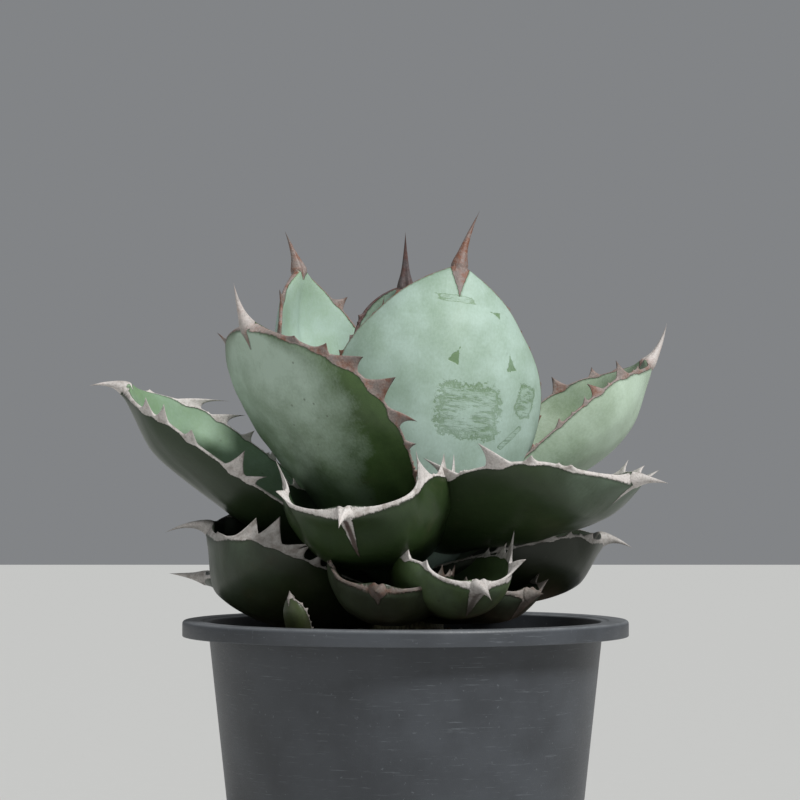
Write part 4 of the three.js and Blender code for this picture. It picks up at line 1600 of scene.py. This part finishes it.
AGE_LOOKS = {
    Age.HEART: LeafLook(
        flesh=(0.16, 0.24, 0.15), deep=(0.08, 0.13, 0.07), bloom=(0.36, 0.47, 0.42), bloom_base=0.8,
        bloom_tip=0.9, bloom_inner=0.8, copper=0.9, horn_base=0.25, horn_tip=0.6, decurrent=10,
        decurrent_width=2.5, denticles=8, scars=0.05,
    ),
    Age.YOUNG: LeafLook(
        flesh=(0.15, 0.23, 0.12), deep=(0.06, 0.10, 0.045), bloom=(0.34, 0.45, 0.39), bloom_base=0.6,
        bloom_tip=0.85, bloom_inner=0.6, copper=0.75, horn_base=0.3, horn_tip=0.6, scars=0.12,
    ),
    Age.MATURE: LeafLook(
        flesh=(0.07, 0.12, 0.045), deep=(0.022, 0.045, 0.014), bloom=(0.2, 0.27, 0.22), bloom_base=0.04,
        bloom_tip=0.35, bloom_inner=0.35, copper=0.3, horn_base=0.25, horn_tip=0.45,
    ),
    Age.OLD: LeafLook(
        flesh=(0.034, 0.058, 0.02), deep=(0.011, 0.02, 0.007), bloom=(0.12, 0.16, 0.13),
        bloom_base=-0.1, bloom_tip=0.3, bloom_inner=0.2, copper=0.03, horn_base=0.2, horn_tip=0.4,
        scars=0.5, decurrent=18, decurrent_width=5,
    ),
    Age.OFFSET: LeafLook(
        flesh=(0.055, 0.075, 0.012), deep=(0.02, 0.035, 0.006), bloom_base=0.0, bloom_tip=0.05,
        bloom_inner=0.05, copper=0.4, horn_base=0.1, horn_tip=0.2, decurrent=4, decurrent_width=1,
        denticles=0, scars=0.1,
    ),
}

# Impressions of a neighbour's teeth in the wax, and the patch that it rubbed.
LEAF_04_MARKS = (
    Mark(-1, 115, 3.4, 9, turn=-20),
    Mark(32, 115, 3.4, 10, turn=12),
    Mark(23, 143, 1.8, 7, turn=80),
    Mark(11, 92, 17, 14, ragged=True),
    Mark(45, 101, 7, 9, turn=-8, ragged=True),
    Mark(-2, 148, 10, 2, ragged=True),
    Mark(37, 81, 9, 1.6, turn=42, ragged=True),
)

# Each leaf: its shape, its age, and what sets its look apart from others of that age. The numbers of a
# shape are azimuth, lift, rise, tip_rise, length, width, cup, spine and tooth.
ROSETTE = [
    (
        LeafShape("leaf_01_heart", 30, 50, 80, 96, 104, 36, 85, 18, 2, thick=0.6),
        Age.HEART,
        {},
    ),
    (
        LeafShape("leaf_02_heart", 190, 48, 76, 98, 118, 52, 88, 22, 3, thick=0.7),
        Age.HEART,
        {},
    ),
    (
        LeafShape("leaf_03_inner_back", 90, 44, 70, 98, 152, 84, 62, 30, 5),
        Age.YOUNG,
        dict(copper=0.9, purple=0.55, denticles=22),
    ),
    (
        LeafShape(
            "leaf_04_centre", -82, 38, 70, 98, 168, 130, 52, 32, 4, lean=9, blunt=0.25, neck=0.3,
            spine_lean=14,
        ),
        Age.YOUNG,
        dict(
            flesh=(0.17, 0.27, 0.14), deep=(0.10, 0.17, 0.08), bloom=(0.46, 0.60, 0.53),
            bloom_base=0.86, bloom_tip=0.62, copper=0.85, horn_base=0.2, horn_tip=0.4, decurrent=20,
            decurrent_width=6, denticles=14, frill=16, wave=0.6, scars=0.1, marks=LEAF_04_MARKS,
        ),
    ),
    (
        LeafShape("leaf_05_back_left", 144, 40, 62, 76, 176, 100, 42, 22, 9, blunt=0.3, spine_lean=16),
        Age.YOUNG,
        dict(
            flesh=(0.25, 0.38, 0.20), deep=(0.14, 0.24, 0.09), bloom=(0.46, 0.60, 0.54),
            bloom_inner=0.65, channel=1.6,
        ),
    ),
    (
        LeafShape(
            "leaf_06_front_left", -143, 37, 60, 46, 163, 138, 38, 24, 10, lean=3, roll=-3, blunt=0.5,
            neck=0.28, broadest=0.62, spine_rise=66,
            right=(
                (0.4, 4), (0.48, 5, -0.3), (0.6, 12, -0.6), (0.7, 15, 0.1), (0.81, 14, -0.1),
                (0.88, 6), (0.93, 4),
            ),
        ),
        Age.MATURE,
        dict(
            flesh=(0.075, 0.135, 0.04), bloom=(0.44, 0.56, 0.46), bloom_base=0.1, bloom_tip=1.0,
            copper=0.75, spine_copper=0.25, margin_shade=0.8, wave=1.5, scars=0.5, horn_base=0.25,
            horn_tip=0.35, denticles=18, frill=10, decurrent=12, decurrent_width=3,
        ),
    ),
    (
        LeafShape("leaf_07_back_right", 71, 36, 46, 66, 146, 88, 42, 24, 8),
        Age.YOUNG,
        {},
    ),
    (
        LeafShape(
            "leaf_08_right_upper", 14, 46, 41, 36, 171, 106, 80, 26, 10, roll=3, lean=5, blunt=0.4,
            neck=0.3, broadest=0.66, spine_rise=62,
            left=((0.45, 3), (0.55, 4), (0.66, 3), (0.74, 8, -0.4), (0.81, 8, 0.1), (0.9, 3)),
            right=((0.4, 5), (0.5, 6), (0.61, 10, -0.4), (0.78, 9, 0), (0.87, 5), (0.93, 3)),
        ),
        Age.YOUNG,
        dict(
            flesh=(0.20, 0.28, 0.15), bloom=(0.48, 0.60, 0.48), bloom_base=0.5, bloom_tip=0.85,
            bloom_inner=0.4, copper=0.7, spine_copper=0.2, horn_tip=0.4,
        ),
    ),
    (
        LeafShape(
            "leaf_09_left", 179, 43, 27, 40, 170, 97, 60, 20, 10, roll=-11, blunt=0.4, neck=0.32,
            broadest=0.66, spine_rise=4,
            left=((0.4, 4), (0.52, 5), (0.61, 6, -0.3), (0.7, 10, -1.1), (0.83, 14, -1.3), (0.93, 3)),
            right=(
                (0.34, 4), (0.5, 8, -1.0), (0.57, 14, 0), (0.7, 9, 0.2), (0.81, 8, 0.4),
                (0.9, 8, 0.5),
            ),
        ),
        Age.MATURE,
        dict(
            # The outer face's flesh is painted near black as shade, and the inner face is painted lighter
            # green as lit.
            flesh=(0.026, 0.044, 0.017), deep=(0.011, 0.02, 0.007), inner=(0.15, 0.28, 0.07),
            bloom=(0.26, 0.38, 0.27), bloom_base=0.0, bloom_tip=0.05, bloom_inner=0.7, copper=0.1,
            horn_base=0.15, horn_tip=0.25, decurrent=9, decurrent_width=2.5,
        ),
    ),
    (
        LeafShape(
            "leaf_10_right_front", -35, 61, 16, 6, 140, 126, 54, 20, 9, roll=-3, blunt=0.4, neck=0.6,
            broadest=0.62, spine_rise=-7,
            left=((0.28, 7, -0.8), (0.44, 12, -0.9), (0.66, 15, -0.4), (0.8, 5), (0.9, 3)),
            right=((0.4, 6), (0.55, 8), (0.7, 7), (0.84, 6), (0.92, 12, 0.2)),
        ),
        Age.MATURE,
        dict(
            flesh=(0.03, 0.052, 0.018), deep=(0.011, 0.02, 0.007), bloom=(0.17, 0.23, 0.17),
            # Flesh painted near black as painted shade: the outer face turns down, away from the light.
            bloom_base=-0.1, scars=0.6, bloom_from=0.72, bloom_tip=0.6, copper=0.1, horn_base=0.25,
            horn_tip=0.4, denticles=14, frill=8, decurrent_width=3,
        ),
    ),
    (
        LeafShape(
            "leaf_11_front", -104, 57, 23, -7, 98, 132, 86, 12, 9, roll=2, lean=-4, neck=0.3,
            spine_rise=-40, left=((0.5, 6), (0.6, 4), (0.76, 13, 0.8), (0.88, 7, 0.9)),
            right=((0.33, 5), (0.39, 6), (0.5, 12, 0.1), (0.68, 10, -0.2), (0.85, 14, 0.6)),
        ),
        Age.OLD,
        dict(
            horn_base=0.2, horn_tip=0.3, decurrent=22, decurrent_width=3.4, cleft=0.9,
            flesh=(0.03, 0.056, 0.016), bloom_tip=0.05, wave=1.7, scars=0.6,
        ),
    ),
    (
        LeafShape("leaf_12_back", 112, 34, 22, 34, 140, 94, 50, 22, 9),
        Age.MATURE,
        {},
    ),
    (
        LeafShape("leaf_13_back_right_low", 51, 30, 12, 24, 128, 88, 52, 22, 9),
        Age.MATURE,
        {},
    ),
    (
        LeafShape(
            "leaf_14_left_low", -165, 25, 9, 34, 102, 140, 86, 24, 13, roll=-12, lean=-9, neck=0.3,
            broadest=0.66, spine_rise=-7, left=((0.45, 5), (0.62, 7), (0.78, 14, 0.3), (0.9, 13, 0.8)),
            right=(
                (0.42, 6, -0.4), (0.53, 8, -0.8), (0.62, 10, -1.3), (0.71, 18, 0), (0.83, 12, 0),
                (0.93, 5),
            ),
        ),
        Age.OLD,
        dict(scars=0.9, horn_tip=0.3, horn_base=0.2, painted_shade=0.55),
    ),
    (
        LeafShape(
            "leaf_15_right_low", 1, 36, 8, 15, 98, 113, 74, 18, 7, roll=6, lean=4, spine_rise=-18,
        ),
        Age.OLD,
        dict(horn_tip=0.3, horn_base=0.2, flesh=(0.014, 0.024, 0.009), bloom_tip=0.0, painted_shade=0.6),
    # Flesh painted near black as painted shade, with painted shade over the whole leaf: it sits deep in
    # shade.
    ),
    (
        LeafShape("leaf_16_front_right_mid", -44, 24, 4, 2, 78, 64, 62, 10, 6),
        Age.OLD,
        dict(horn_tip=0.3, copper=0.5, painted_shade=0.6),
    ),
    (
        LeafShape(
            "leaf_17_front_right_low", -69, 36, 5, -8, 94, 84, 86, 17, 13, blunt=0.3, neck=0.35,
            broadest=0.66, spine_rise=-24, left=((0.4, 5), (0.55, 4), (0.68, 11, 0.3), (0.85, 4, 0.4)),
            right=((0.45, 5), (0.6, 8), (0.73, 13, 0.2), (0.87, 10, 0.8)),
        ),
        Age.OLD,
        dict(
            bloom_tip=0.4, flesh=(0.12, 0.2, 0.06), deep=(0.03, 0.055, 0.016), cleft=0.6, horn_tip=0.35,
        ),
    ),
    (
        LeafShape("leaf_18_back_left_low", 126, 24, 4, 16, 100, 80, 54, 20, 8),
        Age.OLD,
        {},
    ),
    (
        LeafShape("leaf_19_back_low", 86, 20, 0, 14, 106, 78, 54, 18, 8),
        Age.OLD,
        {},
    ),
    (
        LeafShape("leaf_20_left_lowest", 163, 22, 8, 5, 104, 66, 60, 22, 7),
        Age.OLD,
        dict(scars=0.8),
    ),
    (
        LeafShape("leaf_21_front_lowest", -99, 29, 5, -2, 80, 88, 76, 10, 7, roll=-6),
        Age.OLD,
        dict(
            copper=0.7, horn_base=0.1, horn_tip=0.1, decurrent=6, decurrent_width=2, scars=1.0,
            painted_shade=0.65, flesh=(0.06, 0.09, 0.035), bloom_tip=0.3,
        ),
    ),
    (
        LeafShape("leaf_22_offset", -129, -3, 64, 72, 32, 18, 50, 4, 1.5, thick=0.45, reach=82),
        Age.OFFSET,
        {},
    ),
]


@dataclass
class Rosette:
    """All the leaves, each grown and dressed in turn."""

    stem: StemSizes
    soil_level: float
    effects: Effects

    def build(self) -> dict[str, bpy.types.Object]:
        """Builds every leaf.

        Returns:
            The leaves by the CAD node that each stands for.
        """
        leaves = {}
        for shape, age, changes in ROSETTE:
            look = LeafLook(**{**AGE_LOOKS[age].__dict__, **changes})
            leaf = Leaf(shape, look, self.stem, self.soil_level).build()
            leaf.name = shape.name.replace("leaf_", "blade_")
            leaf.data.materials.append(LeafSkin(self.effects, look).make("skin_" + shape.name))
            leaves[shape.name] = leaf
        return leaves


# ---- Stage ---------------------------------------------------------------------------------------


@dataclass
class Studio:
    """A pale floor, soft lights and the camera."""

    camera_at: Point = (-0.00297, -1.6, 0.245)
    camera_pitch: float = 91.55
    camera_angle: float = 15.37
    floor_size: float = 14.0
    ambient: float = 0.24

    def build(self) -> None:
        """Sets up the floor, the lights, the world and the camera."""
        half = self.floor_size / 2
        corners = [[-half, -half, 0], [half, -half, 0], [half, half, 0], [-half, half, 0]]
        floor = MeshMaker.build("floor", np.array(corners, float), [[0, 1, 2, 3]], smooth=False)
        floor.data.materials.append(PlainStage().make("pale_floor"))
        self._sun("key", (0.62, -0.72, 0.95), 14, 3.2)
        self._light("fill", (-1.7, -1.5, 0.8), (0, 0, 0.25), 1.6, 4)
        self._world()
        self._camera()

    @staticmethod
    def _light(name: str, at: Point, towards: Point, size: float, power: float) -> None:
        """Adds a soft square light.

        Args:
            name: The light's name.
            at: Where it stands, in metres.
            towards: The point that it faces.
            size: Length of its side in metres.
            power: Its power in watts.
        """
        data = bpy.data.lights.new(name, "AREA")
        data.size, data.energy = size, power
        lamp = bpy.data.objects.new(name, data)
        lamp.location = at
        lamp.rotation_euler = (Vector(towards) - Vector(at)).to_track_quat("-Z", "Y").to_euler()
        bpy.context.scene.collection.objects.link(lamp)

    @staticmethod
    def _sun(name: str, at: Point, softness: float, power: float) -> None:
        """Adds an even light from far away.

        Args:
            name: The light's name.
            at: The direction that it comes from.
            softness: How wide the source looks, in degrees.
            power: Its power in watts a square metre.
        """
        data = bpy.data.lights.new(name, "SUN")
        data.angle, data.energy = math.radians(softness), power
        lamp = bpy.data.objects.new(name, data)
        lamp.location = at
        lamp.rotation_euler = Vector(at).to_track_quat("Z", "Y").to_euler()
        bpy.context.scene.collection.objects.link(lamp)

    def _world(self) -> None:
        """Sets an even pale surround."""
        world = bpy.data.worlds.new("surround")
        world.use_nodes = True
        back = world.node_tree.nodes["Background"]
        back.inputs["Color"].default_value = (0.93, 0.96, 1.0, 1.0)
        back.inputs["Strength"].default_value = self.ambient
        bpy.context.scene.world = world

    def _camera(self) -> None:
        """Adds the camera, level with the lower leaves and looking slightly up."""
        data = bpy.data.cameras.new("camera")
        data.lens_unit = "FOV"
        data.angle = math.radians(self.camera_angle)
        camera = bpy.data.objects.new("camera", data)
        camera.location = self.camera_at
        camera.rotation_euler = (math.radians(self.camera_pitch), 0, 0)
        bpy.context.scene.collection.objects.link(camera)
        bpy.context.scene.camera = camera
        bpy.context.scene.view_settings.view_transform = "Standard"


# ---- The whole object ----------------------------------------------------------------------------


def join_frame(piece: bpy.types.Object, node: str | None) -> None:
    """Ties a piece to the CAD frame.

    Args:
        piece: The finished piece.
        node: The CAD node that it stands for, if any.
    """
    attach(piece, "root")
    if node:
        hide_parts(node)
    LOG.info("built %s with %d faces", piece.name, len(piece.data.polygons))


def main() -> None:
    """Builds the pot, the potting mix, the stem, the leaves and the studio, in that order."""
    effects = Effects()
    pot = Pot()
    stem = StemSizes()
    mix = PottingMix(pot, stem)

    shell = pot.build()
    shell.data.materials.append(MouldedPlastic(effects).make("moulded_plastic"))
    join_frame(shell, "pot")

    body = mix.build()
    body.data.materials.append(PottingMixSkin().make("potting_mix"))
    join_frame(body, "soil")
    bits = mix.build_bits()
    bits.data.materials.append(PottingMixSkin(bits=True).make("bark_and_grit"))
    join_frame(bits, None)

    core = Stem(stem, mix.level).build()
    core.data.materials.append(StemSkin().make("stem_tissue"))
    join_frame(core, "stem")

    for node, leaf in Rosette(stem, mix.level, effects).build().items():
        join_frame(leaf, node)

    Studio().build()
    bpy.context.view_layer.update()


if __name__ == "__main__":
    logging.basicConfig(level=logging.INFO, format="%(name)s: %(message)s")
    main()
